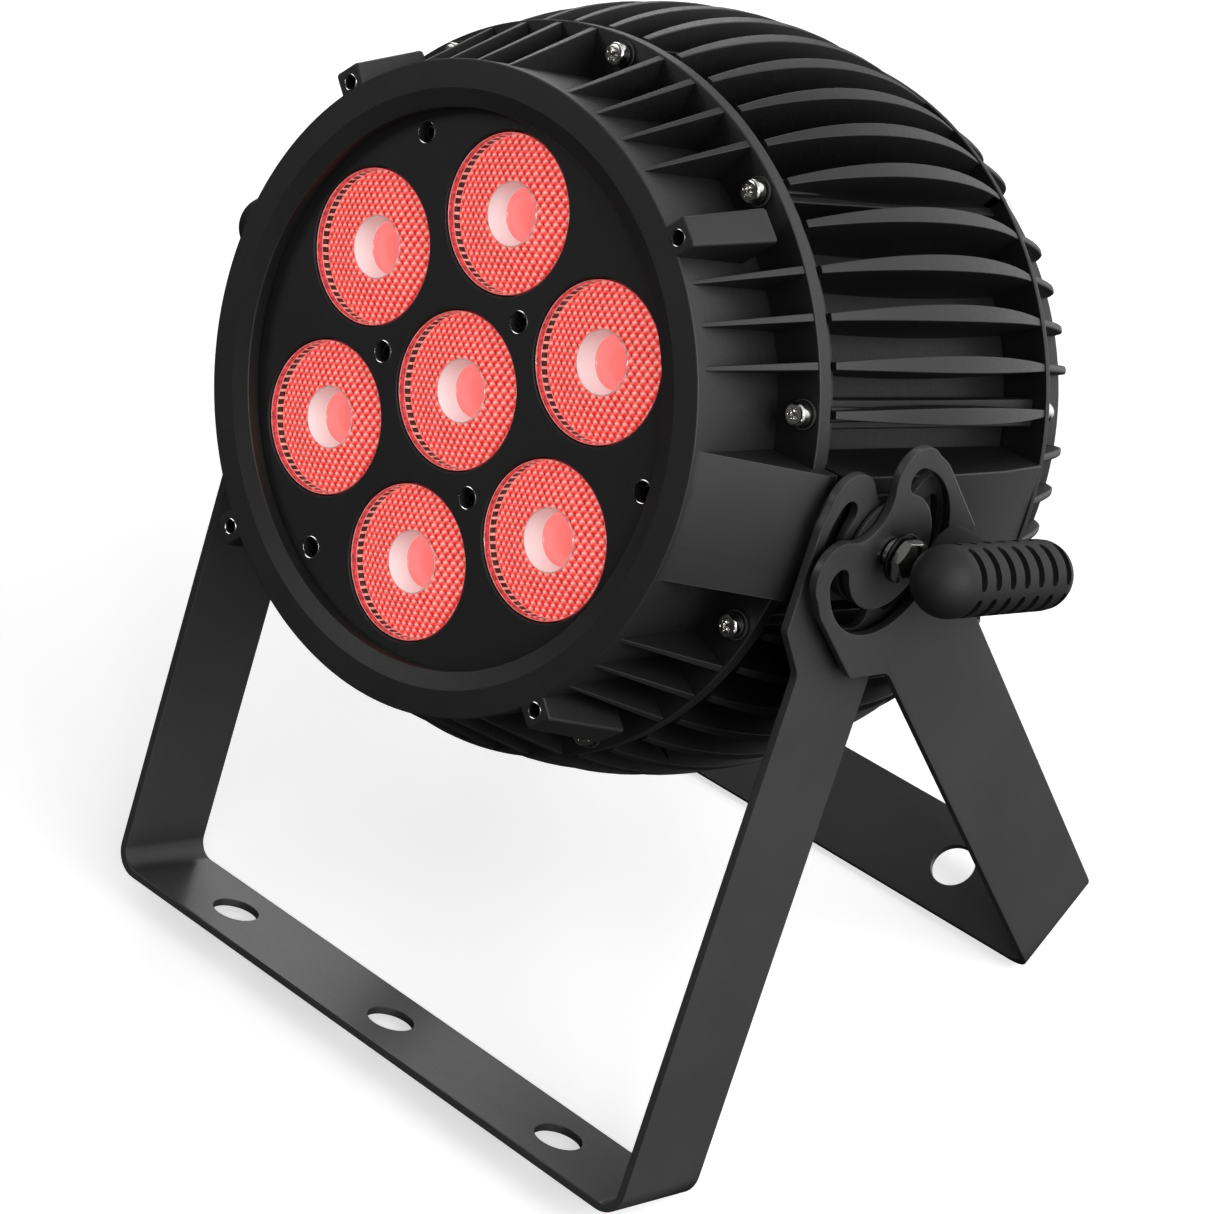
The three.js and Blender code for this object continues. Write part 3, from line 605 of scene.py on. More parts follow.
# ------------------------------ front housing
def front_housing():
    rear = FLANGE_Y + FLANGE_THICK
    ledge = PANEL_Y + PANEL_THICK + 0.4
    tip = BEZEL_Y + 2.5
    root = CAVITY_R + 2
    shell = lathe(rounded([
        (OPENING_R, BEZEL_Y + 1.2, 0.35), (BEVEL_R, BEZEL_Y, 0.5), (BEZEL_R, BEZEL_Y, 0.45),
        (WALL_R, FLANGE_Y, 0), (FLANGE_R, FLANGE_Y), (FLANGE_R, rear),
        (CAVITY_R, rear), (CAVITY_R, ledge), (PANEL_R + 0.3, ledge), (PANEL_R + 0.3, PANEL_Y - 0.3),
        (OPENING_R, PANEL_Y - 0.3),
    ], 0.4))
    ribs = [radial_bar([(tip, root, BEZEL_R - 0.1, 0.45), (FLANGE_Y + 0.5, root, FLANGE_R - 0.3, 1.0)],
                       grid_angle(place), 0.22)
            for place in range(GRID_COUNT)
            if place not in SCREW_PLACES and place not in TAB_PLACES and place not in PAD_PLACES]
    tabs = [radial_bar([
        (BEZEL_Y, root, 84.8, 3.4), (BEZEL_Y + 0.12, root, 85.1, 3.7), (BEZEL_Y + 0.4, root, 85.3, 3.9),
        (-28.4, root, 90.3, 4.5), (-27.8, root, 90.2, 4.4), (-27.45, root, 89.8, 4.2), (-27.35, root, 89.4, 3.9),
    ], grid_angle(place), 0.8) for place in TAB_PLACES]
    cone = lathe([(root, tip), (BEZEL_R - 0.2, tip), (PAD_FRONT_R, FLANGE_Y + 0.5), (PAD_FRONT_R, rear), (root, rear)])
    slabs = joined([box_shell(side * 60, side * 100, -60, 0, -16, 16) for side in (1, -1)])
    pads = boolean(cone, slabs, "INTERSECT")
    seats = joined([peg(SCREW_HEAD_R + 0.7, SEAT_Y, FLANGE_Y + 1, *spot) for spot in SCREW_SPOTS])
    holes = joined([peg(SCREW_HOLE_R, FLANGE_Y - 3, rear + 1, *spot, 24) for spot in SCREW_SPOTS]
                   + [countersunk(1.7, 0.5, BEZEL_Y, 12, *spot) for spot in TAB_HOLE_SPOTS])
    shape = shell
    for extra in (joined(ribs), joined(tabs), pads, seats):
        shape = boolean(shape, extra, "UNION")
    return boolean(shape, holes, "DIFFERENCE")


def box_shell(x0, x1, y0, y1, z0, z1):
    return loft([[(x, y0, z0), (x, y0, z1), (x, y1, z1), (x, y1, z0)] for x in (x0, x1)])


def countersunk(radius, rim, face, depth, x, z, steps=28):
    """A tool for a hole along +Y whose mouth opens out by a rounded rim."""
    rings = [(radius + rim + 0.2, face - 0.6), (radius + rim, face), (radius + rim * 0.3, face + rim * 0.3),
             (radius, face + rim), (radius, face + depth)]
    return loft([[(u, y, v) for u, v in circle(r, steps, x, z)] for r, y in rings])


on_head("front_housing_shell", front_housing(), "black_cast_aluminium", front_coat, "front_housing")


# ------------------------------ screws
def screw_head(radius, height, points=6):
    """A cylinder head with a rounded top and a star recess, its top towards -Y at the origin."""
    body = turned([(0, 0), (radius, 0, radius * 0.28), (radius, height, 0.2), (0, height)], 0.1, 4, 40)
    star = []
    for k in range(points * 4):
        swell = 0.5 + 0.5 * math.cos(TURN * k / 4)
        star.append(polar(radius * (0.36 + 0.26 * swell), TURN * k / (points * 4)))
    recess = loft([[(u * s, y, v * s) for u, v in star] for y, s in ((-1, 1.06), (0, 1.06), (0.15, 1.0), (1.5, 0.92))])
    return boolean(body, recess, "DIFFERENCE")


def screws(kind, head, spots, y, turn, material):
    """A screw at each spot, each with its recess turned a little further."""
    for number, (x, z) in enumerate(spots):
        spot = head_at(x, y, z) @ Matrix.Rotation(number * turn, 4, "Y")
        add(f"{kind}_head_{number + 1}", head, in_metres(spot), "head", [material],
            [f"{kind}_{number + 1}"])


big_screw = metres(screw_head(SCREW_HEAD_R, SCREW_HEAD_HEIGHT), "screw")
screws("housing_screw", big_screw, SCREW_SPOTS, SCREW_HEAD_Y, 0.9, chrome)
small_screw = metres(screw_head(2.15, 2.4), "small_screw")
screws("panel_screw", small_screw, PANEL_SCREWS, PANEL_Y + 1.5, 0.7, black_steel)


# ------------------------------ lens panel and lenses
def lens_panel():
    def place(u, v, h):
        return u, PANEL_Y + h, v
    holes = [circle(LENS_HOLE_R, 96, x, z) for x, z in LENS_CENTRES]
    holes += [circle(PANEL_HOLE_R, 32, x, z) for x, z in PANEL_SCREWS]
    return plate(circle(PANEL_R, ROUND_STEPS), holes, PANEL_THICK, 0.28, place, 3)


on_head("lens_panel_plate", lens_panel(), "black_cast_aluminium", panel_coat, "lens_panel")


def rims(name, radius, thin, y, centres):
    """A thin machined edge round each of some holes."""
    loops = []
    for x, z in centres:
        ring = lathe([(radius + thin * math.cos(TURN * k / 8), thin * math.sin(TURN * k / 8)) for k in range(8)], 40)
        loops.append(ring.moved(Matrix.Translation((x, y, z))))
    on_head(name, joined(loops), "bright_steel", chrome)


rims("panel_hole_rims", PANEL_HOLE_R + 0.15, 0.18, PANEL_Y, PANEL_SCREWS)
rims("tab_hole_rims", 1.95, 0.18, BEZEL_Y + 0.02, TAB_HOLE_SPOTS)

CELL = 2.22  # distance between two small lenses in a row, and between the rows
CELL_ROW = 1.49
CELL_TURN = 18.5 * DEG
FACE_IN_DEPTH = 2.1  # the lens face behind the panel's face, at the bore and at its rim
FACE_OUT_DEPTH = 4.7
CELL_RISE = 0.3
BORE_DEPTH = 8
BORE_STEPS = 60
RIM_STEPS = 180


def face_height(radius):
    """How far the lens face lies behind the panel's face."""
    share = max(0, (radius - BORE_R) / (LENS_R - BORE_R))
    return FACE_IN_DEPTH + (FACE_OUT_DEPTH - FACE_IN_DEPTH) * share ** 1.3


def cell_points():
    """Points of one small lens round its middle: x, z, height, and how much painted glint and how much painted shade
    each gets.
    """
    across, up = CELL / 2, CELL_ROW
    corner = up * 2 / 3
    points = [(0, 0, 1.0, 0.0, 0.0)]
    points += [(*polar(corner * 0.7, (30 + 60 * k) * DEG), 0.8, painted_light, painted_shade_spot) for k, (painted_light, painted_shade_spot) in
               enumerate(((0.05, 0.0), (0.6, 0.0), (0.4, 0.0), (0.05, 0.0), (0.0, 0.65), (0.05, 0.1)))]
    points += [(0, corner, 0.0, 0.8, 0.0), (0, -corner, 0.0, 0.1, 0.9)]
    points += [(-across / 2, corner * 0.75, 0.15, 0.85, 0.0), (across / 2, corner * 0.75, 0.15, 0.3, 0.1)]
    points += [(across, 0, 0.15, 0.35, 0.15)]
    return points


def lens_mesh():
    """A lens in its own axes, its middle at the origin and the panel's face at y = 0."""
    inner, outer = BORE_R + 0.35, LENS_R - 0.35
    points, marks = [], []
    turn = Matrix.Rotation(CELL_TURN, 2)
    rows = int(LENS_R / CELL_ROW) + 1
    for row in range(-rows, rows + 1):
        for column in range(-rows, rows + 1):
            middle = Vector(((column + 0.5 * (row % 2)) * CELL, row * CELL_ROW))
            for x, z, rise, painted_light, painted_shade_spot in cell_points():
                spot = turn @ (middle + Vector((x, z)))
                if inner + 0.12 < spot.length < outer - 0.12:
                    points.append(tuple(spot))
                    marks.append((rise, painted_light, painted_shade_spot))
    edges, firsts = [], []
    for radius, count in ((inner, BORE_STEPS), (outer, RIM_STEPS)):
        first = len(points)
        firsts.append(first)
        points += circle(radius, count)
        marks += [(0.0, 0.25, 0.0)] * count
        edges += [(first + k, first + (k + 1) % count) for k in range(count)]
    bore_points = range(firsts[0], firsts[1])
    flat, _, triangles, origin, _, _ = delaunay_2d_cdt([Vector(p) for p in points], edges, [], 0, 1e-5)
    shell = Shell()
    painted_light, painted_shade_spot, place_of = [], [], {}
    for i, p in enumerate(flat):
        rise, light, dark = marks[origin[i][0]]
        shell.point(p.x, face_height(p.length) - CELL_RISE * rise, p.y)
        painted_light.append(light)
        painted_shade_spot.append(dark)
        place_of.update((source, i) for source in origin[i])
    for triangle in triangles:
        if any(origin[v][0] not in bore_points for v in triangle):
            shell.face(triangle, 0)
    bore_ring = [place_of[k] for k in bore_points]
    rim_ring = [place_of[k] for k in range(firsts[1], len(points))]

    def step(last, radius, y, kind, cells=False):
        row = [shell.point(u, y, v) for u, v in circle(radius, len(last))]
        # painted light: lighter towards the lower side, by the angle round the axis
        painted_light.extend(0.5 - 0.5 * math.sin(math.atan2(shell.verts[p][2], shell.verts[p][0]) + 0.5) for p in row)
        painted_shade_spot.extend([0.0] * len(row))
        for k in range(len(row)):
            n = (k + 1) % len(row)
            shell.face((last[k], last[n], row[n], row[k]), 5 if cells and k % 3 == 0 else kind)
        return row

    last = bore_ring
    for radius, y, kind in ((BORE_R + 0.12, FACE_IN_DEPTH - 0.2, 5), (BORE_R, FACE_IN_DEPTH - 0.15, 2),
                            (BORE_R - 0.1, FACE_IN_DEPTH + 0.3, 2), (BORE_R - 0.2, FACE_IN_DEPTH + 2.4, 2),
                            (BORE_R - 0.4, BORE_DEPTH - 1.4, 2), (BORE_R - 0.8, BORE_DEPTH - 0.5, 2),
                            (BORE_R - 1.5, BORE_DEPTH, 3), (BORE_R - 2.4, BORE_DEPTH - 0.05, 3),
                            (BORE_R - 2.6, BORE_DEPTH - 0.2, 3), (BORE_R - 5, BORE_DEPTH - 0.45, 3)):
        last = step(last, radius, y, kind)
    shell.face(last[::-1], 3)
    last = rim_ring
    # the second row carries the painted dark reflection, every third face a lighter line
    for radius, y, kind, cells in ((LENS_R - 0.32, 4.45, 5, False), (LENS_R - 0.3, 2.4, 1, True),
                                   (LENS_R - 0.28, 2.15, 5, False), (LENS_R - 0.2, 0.6, 4, False),
                                   (LENS_R - 0.1, 0.5, 5, False), (LENS_R, 0.6, 4, False), (LENS_R, 3.2, 4, False),
                                   (LENS_R - 0.1, 8, 4, False), (6.4, 28, 4, False)):
        last = step(last, radius, y, kind, cells)
    shell.face(last, 4)
    mesh = shell.mesh("lens")
    # painted light and painted shade per point, read by the lens materials
    for name, values in (("painted_light", painted_light), ("painted_shade_spot", painted_shade_spot)):
        mesh.attributes.new(name, "FLOAT", "POINT").data.foreach_set("value", values[:len(mesh.vertices)])
    return mesh


lens_data = metres(lens_mesh(), "lens")
for number, (x, z) in enumerate(LENS_CENTRES):
    add(f"lens_{number + 1}", lens_data, in_metres(head_at(x, PANEL_Y, z)), "head", lens_materials,
        [f"collimator_lens_{number + 1}"])


# ------------------------------ heatsink housing
def fin_radius(y):
    return FIN_R * math.sqrt(1 - ((y - FIN_MID_Y) / FIN_HALF_LENGTH) ** 2)


def fin(place, stations=18):
    sections = []
    for k in range(stations + 1):
        t = k / stations
        y = HEATSINK_Y + (HEATSINK_BACK - HEATSINK_Y) * t
        sections.append((y, DRUM_R - 2, fin_radius(y), (2.0 + 2.3 * math.sin(math.pi * t)) / 2))
    return radial_bar(sections, grid_angle(place), 0.3)


def screw_boss(place):
    top = SCREW_PCR + 2.6
    body = [(y, DRUM_R - 2, top - drop, 3.5) for y, drop in ((HEATSINK_Y + 1, 1.4), (20, 1.2), (HEATSINK_BACK, 1.2))]
    crown = [(y, DRUM_R, top - drop, half) for y, drop, half in
             ((HEATSINK_Y + 1, 0, 1.9), (20, 0, 1.5), (HEATSINK_BACK - 5, 0, 1.3), (HEATSINK_BACK - 2, 0.9, 1.2))]
    return joined([radial_bar(sections, grid_angle(place), 0.5) for sections in (body, crown)])


def side_pad(angle):
    outline = ((HEATSINK_Y, PAD_FACE_X - 0.3), (HEATSINK_Y + 0.4, PAD_FACE_X), (30, PAD_FACE_X), (52, 94.6),
               (HEATSINK_BACK, 91.9))
    return radial_bar([(y, DRUM_R - 2, outer, 16) for y, outer in outline], angle, 0.5)


def heatsink():
    front, back = HEATSINK_Y, HEATSINK_BACK
    recess = front + 1.7
    shape = turned([
        (0, recess), (70, recess), (70, front), (88.6, front), (88.6, front + 3), (DRUM_R, front + 3), (DRUM_R, back),
        (70, back), (70, back - 4), (76, back - 10), (76, recess + 6), (0, recess + 6),
    ], 0.35)
    fins = joined([fin(place) for place in range(GRID_COUNT) if place not in PAD_PLACES])
    bosses = joined([screw_boss(place) for place in SCREW_PLACES])
    pads = joined([side_pad(0), side_pad(math.pi)])
    for extra in (fins, bosses, pads):
        shape = boolean(shape, extra, "UNION")
    threads = joined([peg(SCREW_HOLE_R, front - 1, front + 12, *spot, 24) for spot in SCREW_SPOTS])
    studs = joined([peg(PIVOT_HOLE_R, 84, 100).moved(SIDEWAYS[side]) for side in SIDES])
    return boolean(boolean(shape, threads, "DIFFERENCE"), studs, "DIFFERENCE")


SIDES = {"right": 1, "left": -1}
SIDEWAYS = {name: Matrix.Rotation(-side * math.pi / 2, 4, "Z") for name, side in SIDES.items()}

on_head("heatsink_housing_shell", heatsink(), "black_cast_aluminium", cast_coat, "heatsink_housing")


# ------------------------------ rear cover and what it carries
BUTTON_R = 4
BUTTON_PROUD = 2.2
BUTTONS = {name: (14 * (k - 1.5), 8) for k, name in enumerate(("menu", "down", "up", "enter"))}
SOCKETS = {"power_inlet": (-26, -26, 12, 15), "power_outlet": (26, -26, 12, 15),
           "data_input": (-10, -48, 8.5, 13), "data_output": (12, -48, 8.5, 13)}
WINDOW = (-26, 26, 20, 42)
VENT = (44, 14, 6)
EYE = (-37, 35, 4.6)
EYE_SCREWS = (-3.6, 3.6)
FACE = COVER_BACK + 0.3  # where the pieces on the cover start


def rear_cover():
    """A deep cap with a flange against the heatsink; the fins carry on over it as hooks."""
    wall, land, seal = COVER_R - COVER_THICK, RING_Y + 4, RING_Y + 1.3
    cap = turned([
        (0, COVER_INSIDE), (wall, COVER_INSIDE, 1.5), (wall, land), (70, land), (70, seal), (79.5, seal),
        (79.5, RING_Y), (RING_R, RING_Y, 0.4), (RING_R, RING_Y + RING_THICK, 0.4), (COVER_R, RING_Y + RING_THICK, 0.6),
        (COVER_R, COVER_BACK, 1.2), (64, COVER_BACK, 0.3), (63.4, COVER_BACK - 0.6, 0.3), (62.2, COVER_BACK - 0.6, 0.3),
        (61.6, COVER_BACK, 0.3), (0, COVER_BACK),
    ], 0.3)
    outline = ((RING_Y + 0.8, RING_R - 0.3), (77, 91.2), (82, 89.6), (86, 88.2), (90, 86.6), (92.5, 85.4), (94.4, 84.2),
               (95.4, 83.3), (95.9, 82.5), (96.1, 81.8))
    hook = [(y, COVER_R - 1, outer, 1.1 if y < 95 else 0.9) for y, outer in outline]
    hooks = [radial_bar(hook, grid_angle(place), 0.8) for place in range(GRID_COUNT) if place not in SCREW_PLACES]
    deep = COVER_INSIDE - 1
    tools = [peg(BUTTON_R + 0.3, deep, FACE + 2, x, z) for x, z in BUTTONS.values()]
    tools += [peg(r - 1.6, deep, FACE + 2, x, z, 48) for x, z, r, _ in SOCKETS.values()]
    tools += [peg(VENT[2] - 1.6, deep, FACE + 2, *VENT[:2])]
    x0, x1, z0, z1 = WINDOW
    tools += [box_shell(x0 - 0.3, x1 + 0.3, COVER_BACK - 1.4, FACE + 2, z0 - 0.3, z1 + 0.3)]
    return boolean(boolean(cap, joined(hooks), "UNION"), joined(tools), "DIFFERENCE")


on_head("rear_cover_plate", rear_cover(), "black_cast_aluminium", cast_coat, "rear_cover")

AROUND = Matrix.Rotation(math.pi, 4, "Z")  # turns a piece to face the back
cap_nut = metres(joined([
    turned([(0, 0), (3.7, 0, 0.2), (3.7, -3.2, 0.5), (0, -3.2)], steps=6),
    turned([(0, -3), (3, -3, 0.1), (3, -5.4, 1.5), (2.2, -7.4, 1.5), (0, -8)], 0.3, 5, 40),
    turned([(0, 0.02), (4.3, 0.02, 0.2), (4.3, -0.8, 0.3), (0, -0.8)], steps=40),
]), "cap_nut")
for number, (x, z) in enumerate(SCREW_SPOTS):
    spot = head_at(x, RING_Y + RING_THICK + 0.05, z) @ AROUND
    add(f"cover_cap_nut_{number + 1}", cap_nut, in_metres(spot), "head", [chrome])

window = plate(rectangle(*WINDOW), [], 1.4, 0.25, lambda u, v, h: (u, COVER_BACK - 1.1 + h, v))
on_head("display_window_glass", window, "display_glass", glass, "display_window")
surround = plate(rounded(rectangle(*WINDOW, 2.4), 2.5, 6), [rounded(rectangle(*WINDOW, -1.6), 1, 4)], 0.9, 0.25,
                 lambda u, v, h: (u, FACE + 0.15 + h, v))
on_head("display_surround", surround, "black_plastic", black_plastic)

for name, (x, z) in BUTTONS.items():
    inside = COVER_INSIDE - 0.3
    top = COVER_BACK + BUTTON_PROUD
    button = turned([
        (0, inside - 1.4), (BUTTON_R + 1.4, inside - 1.4), (BUTTON_R + 1.4, inside), (BUTTON_R, inside),
        (BUTTON_R, top, 0.7), (BUTTON_R - 1.4, top - 0.35), (0, top - 0.7),
    ], 0.25, steps=48)
    build(f"button_{name}_cap", button, head_at(x, 0, z), f"button_{name}", "black_rubber", black_rubber,
          f"button_{name}")

for name, (x, z, radius, length) in SOCKETS.items():
    mouth = FACE + length
    cup = turned([
        (0, FACE - 9), (radius - 2.2, FACE - 9), (radius - 2.2, FACE), (radius, FACE), (radius, FACE + 2.4),
        (radius - 0.7, FACE + 2.8), (radius - 0.7, FACE + 4), (radius, FACE + 4.4), (radius, mouth, 0.6),
        (radius - 2, mouth, 0.4), (radius - 2, FACE + 2, 0.8), (0, FACE + 2),
    ], steps=64)
    flutes = joined([peg(0.5, FACE + 5.4, mouth - 2.5, *polar(radius + 0.15, TURN * k / 24), 10) for k in range(24)])
    on_head(f"{name}_cup", boolean(cup, flutes, "DIFFERENCE"), "black_plastic", black_plastic, name,
            place=head_at(x, 0, z))
    pin = turned([(0, FACE + 2.05), (0.9, FACE + 2.05), (0.9, mouth - 5, 0.5), (0, mouth - 4.6)], 0.1, steps=20)
    pins = joined([pin.moved(Matrix.Translation((u, 0, v))) for u, v in circle(radius * 0.34, 3, start=math.pi / 2)])
    on_head(f"{name}_pins", pins, "bright_steel", chrome, place=head_at(x, 0, z))

vent_cap = turned([
    (0, FACE - 5), (VENT[2] - 2.2, FACE - 5), (VENT[2] - 2.2, FACE), (VENT[2], FACE), (VENT[2], FACE + 3.6, 0.7),
    (1.6, FACE + 3.6), (1.3, FACE + 2.6), (0, FACE + 2.6),
], steps=48)
vent_slots = joined([peg(0.45, FACE + 0.8, FACE + 5, *polar(VENT[2] + 0.1, TURN * k / 12), 10) for k in range(12)])
on_head("vent_valve_cap", boolean(vent_cap, vent_slots, "DIFFERENCE"), "black_plastic", black_plastic, "vent_valve",
        place=head_at(VENT[0], 0, VENT[1]))


def safety_eye():
    """A bent strip: a foot on the cover and an ear with a round eye."""
    thick, half, reach = 2.4, 7, 19
    x, z, hole_r = EYE
    foot = plate(rounded(rectangle(x - half, x + half, z - 18, z + thick / 2), 3, 5),
                 [circle(1.7, 20, x + s, z - 13) for s in EYE_SCREWS], thick, 0.3, lambda u, v, h: (u, FACE + h, v))
    ear = plate(rounded([(x - half, FACE), (x + half, FACE), (x + half, FACE + reach, 7), (x - half, FACE + reach, 7)],
                        0.3, 10), [circle(hole_r, 40, x, FACE + reach - half)], thick, 0.3,
                lambda u, v, h: (u, v, z - thick / 2 + h))
    return boolean(foot, ear, "UNION")


on_head("safety_eye_bracket", safety_eye(), "sheet_steel", sheet_metal, "safety_eye")
dome_screw = metres(boolean(
    turned([(0, -2.4), (1.9, -2.2, 0.8), (3.1, -1.1, 1), (3.1, 0, 0.2), (0, 0)], 0.3, 5, 40),
    lathe([(0, -3), (1.3, -3), (1.2, -1), (0, -1)], 6), "DIFFERENCE"), "dome_screw")
for number, s in enumerate(EYE_SCREWS):
    spot = head_at(EYE[0] + s, FACE + 2.45, EYE[1] - 13) @ AROUND @ Matrix.Scale(0.75, 4)
    add(f"safety_eye_screw_{number + 1}", dome_screw, in_metres(spot), "head", [chrome])

for node, material in (("front_gasket", black_rubber), ("rear_gasket", black_rubber), ("lens_holder", black_plastic),
                       ("led_board", green_board), ("driver_board", green_board), ("power_supply", sheet_metal)):
    data = frame["nodes"][node].data
    data.materials.clear()
    data.materials.append(material)


# ------------------------------ yokes
SLOT_MEAN_R = 18.2
SLOT_HALF = 3.3
SLOTS = ((-4, 117), (-122, -40))  # degrees round the pivot between each slot's round ends
BEND_STEPS = 8


def slot_shape(start, end, steps=26):
    """A kidney slot round the pivot, as [down, across] points."""
    a0, a1 = start * DEG, end * DEG
    points = [polar(SLOT_MEAN_R + SLOT_HALF, a0 + (a1 - a0) * k / steps) for k in range(steps + 1)]
    points += circle(SLOT_HALF, 20, *polar(SLOT_MEAN_R, a1), a1)[1:10]
    points += [polar(SLOT_MEAN_R - SLOT_HALF, a1 + (a0 - a1) * k / steps) for k in range(steps + 1)]
    return points + circle(SLOT_HALF, 20, *polar(SLOT_MEAN_R, a0), a0 + math.pi)[1:10]


def ear_half():
    """Half of the ear's outline, from the saddle's middle to the leg, as [down, across] points."""
    lobe, lobe_r, saddle = Vector((-10, 15.4)), 8.4, -20
    saddle_r = (lobe - Vector((saddle, 0))).length - lobe_r
    end = math.atan2(lobe.y, lobe.x - saddle)
    points = [(saddle + saddle_r * math.cos(end * k / 14), saddle_r * math.sin(end * k / 14)) for k in range(15)]
    sweep = end + math.pi / 2
    for k in range(1, 21):
        u, v = polar(lobe_r, end + math.pi - sweep * k / 20)
        points.append((lobe.x + u, lobe.y + v))
    shoulder = [points[-1], (-5, 25.1, 10), (21.6, 25.1, 3), (33.2, LEG_HALF, 6), (70, LEG_HALF)]
    return points + rounded(shoulder, 1, 8, False)[1:]


def yoke(outer_x, length):
    """The strip cut out flat, then bent: both ears, two legs and the bar in one piece."""
    outer_bend = BEND_R + YOKE_THICK
    bottom = -length - YOKE_THICK
    straight = outer_x - outer_bend
    arc = outer_bend * math.pi / 2
    reach = straight + arc - bottom - outer_bend  # from the bar's middle to the pivot, along the strip
    half = ear_half()
    ear = [(s, -q) for s, q in reversed(half)] + half[1:]
    outline = [(reach - s, q) for s, q in ear] + [(s - reach, q) for s, q in reversed(ear)]
    holes = [circle(HOLE_R, 48, k * HOLE_STEP) for k in (-1, 0, 1)]
    for side in (1, -1):
        holes.append(circle(PIVOT_HOLE_R, 32, side * reach))
        holes += [[(side * (reach - s), q) for s, q in slot_shape(*slot)] for slot in SLOTS]
    data = plate(outline, holes, YOKE_THICK, 0.3, lambda u, v, h: (u, v, h)).mesh("yoke")
    work = bmesh.new()
    work.from_mesh(data)
    for side in (1, -1):
        for k in range(BEND_STEPS + 1):
            at = side * (straight + arc * k / BEND_STEPS)
            bmesh.ops.bisect_plane(work, geom=work.verts[:] + work.edges[:] + work.faces[:],
                                   plane_co=(at, 0, 0), plane_no=(1, 0, 0))
    for vertex in work.verts:
        t, q, h = vertex.co
        side, along = math.copysign(1, t), abs(t)
        if along <= straight:
            x, z = along, bottom + h
        elif along <= straight + arc:
            turn = (along - straight) / outer_bend
            x = straight + (outer_bend - h) * math.sin(turn)
            z = bottom + outer_bend - (outer_bend - h) * math.cos(turn)
        else:
            x, z = outer_x - h, bottom + outer_bend + along - straight - arc
        vertex.co = (side * x, -q, z)
    bmesh.ops.recalc_face_normals(work, faces=work.faces)
    work.to_mesh(data)
    work.free()
    return data


for name, place, outer_x, length in (("front_yoke", FRONT_YOKE, FRONT_YOKE_X, FRONT_YOKE_LENGTH),
                                     ("rear_yoke", REAR_YOKE, REAR_YOKE_X, REAR_YOKE_LENGTH)):
    build(f"{name}_strip", yoke(outer_x, length), place, name, "black_powder_coat", powder_coat, name)


# ------------------------------ pivots and clamp levers
GROOVES = 7
GROOVE_FIRST = 2.6
GROOVE_STEP = 6.05
GROOVE_HALF = 1.2
GROOVE_DEPTH = 2
GROOVE_ARC = 76 * DEG
POST_AT = 17.6
POST_R = 8
POST_X = 106.6


def groove(y, middle):
    """A tool for one groove across the grip, following its round side."""
    steps = 10
    profile = rounded([(LEVER_R - GROOVE_DEPTH, -GROOVE_HALF), (LEVER_R + 2, -GROOVE_HALF),
                       (LEVER_R + 2, GROOVE_HALF), (LEVER_R - GROOVE_DEPTH, GROOVE_HALF)], 0.7, 2)
    sections = []
    for k in range(steps + 1):
        t = 2 * k / steps - 1
        angle = middle + GROOVE_ARC / 2 * t
        taper = 1 - 0.5 * max(0, abs(t) - 0.9) / 0.1
        sections.append([(r * math.cos(angle), y + v * taper, r * math.sin(angle)) for r, v in profile])
    return loft(sections)


def lever():
    """The grip along Y with round ends, grooved on its four sides, and its post towards the head (-X here)."""
    dome = [(LEVER_R * math.cos(k * math.pi / 24), LEVER_R * math.sin(k * math.pi / 24)) for k in range(13)]
    profile = [(r, -y) for r, y in reversed(dome)] + [(r, LEVER_LENGTH + y) for r, y in dome]
    grip = lathe([(r if r > 1e-4 else 0, y) for r, y in profile], 96)
    post = turned([(0, POST_X - LEVER_X), (POST_R, POST_X - LEVER_X, 0.8), (POST_R, 0), (0, 0)], 0.3, 4, 64)
    post = post.moved(Matrix.Translation((0, POST_AT, 0)) @ Matrix.Rotation(-math.pi / 2, 4, "Z"))
    tools = [groove(GROOVE_FIRST + GROOVE_STEP * k, (45 + 90 * row) * DEG) for row in range(4) for k in range(GROOVES)]
    return boolean(boolean(grip, joined(tools), "DIFFERENCE"), post, "UNION")


def hex_nut():
    blank = lathe([(0, 0), (4.4, 0), (5.8, 0.8), (5.8, 2.8), (4.4, 3.6), (0, 3.6)], 60)
    prism = loft([[(u, y, v) for u, v in circle(5.8, 6)] for y in (-1, 5)])
    return boolean(blank, prism, "INTERSECT")


def spun(name, points, side, material, *replaces):
    """A turned steel piece on the pivot axis, from [radius, distance from the middle] points."""
    build(name, turned(points, 0.25, steps=64), HEAD @ SIDEWAYS[side], f"clamp_lever_{side}", "bright_steel", material,
          *replaces)


def washer(kind, body, side, start, end):
    shape = lathe(rounded([(3.7, start), (12, start), (12, end), (3.7, end)], 0.3), 64)
    build(f"{kind}_disc_{side}", shape, HEAD @ SIDEWAYS[side], body, "black_rubber", black_rubber, f"{kind}_{side}")


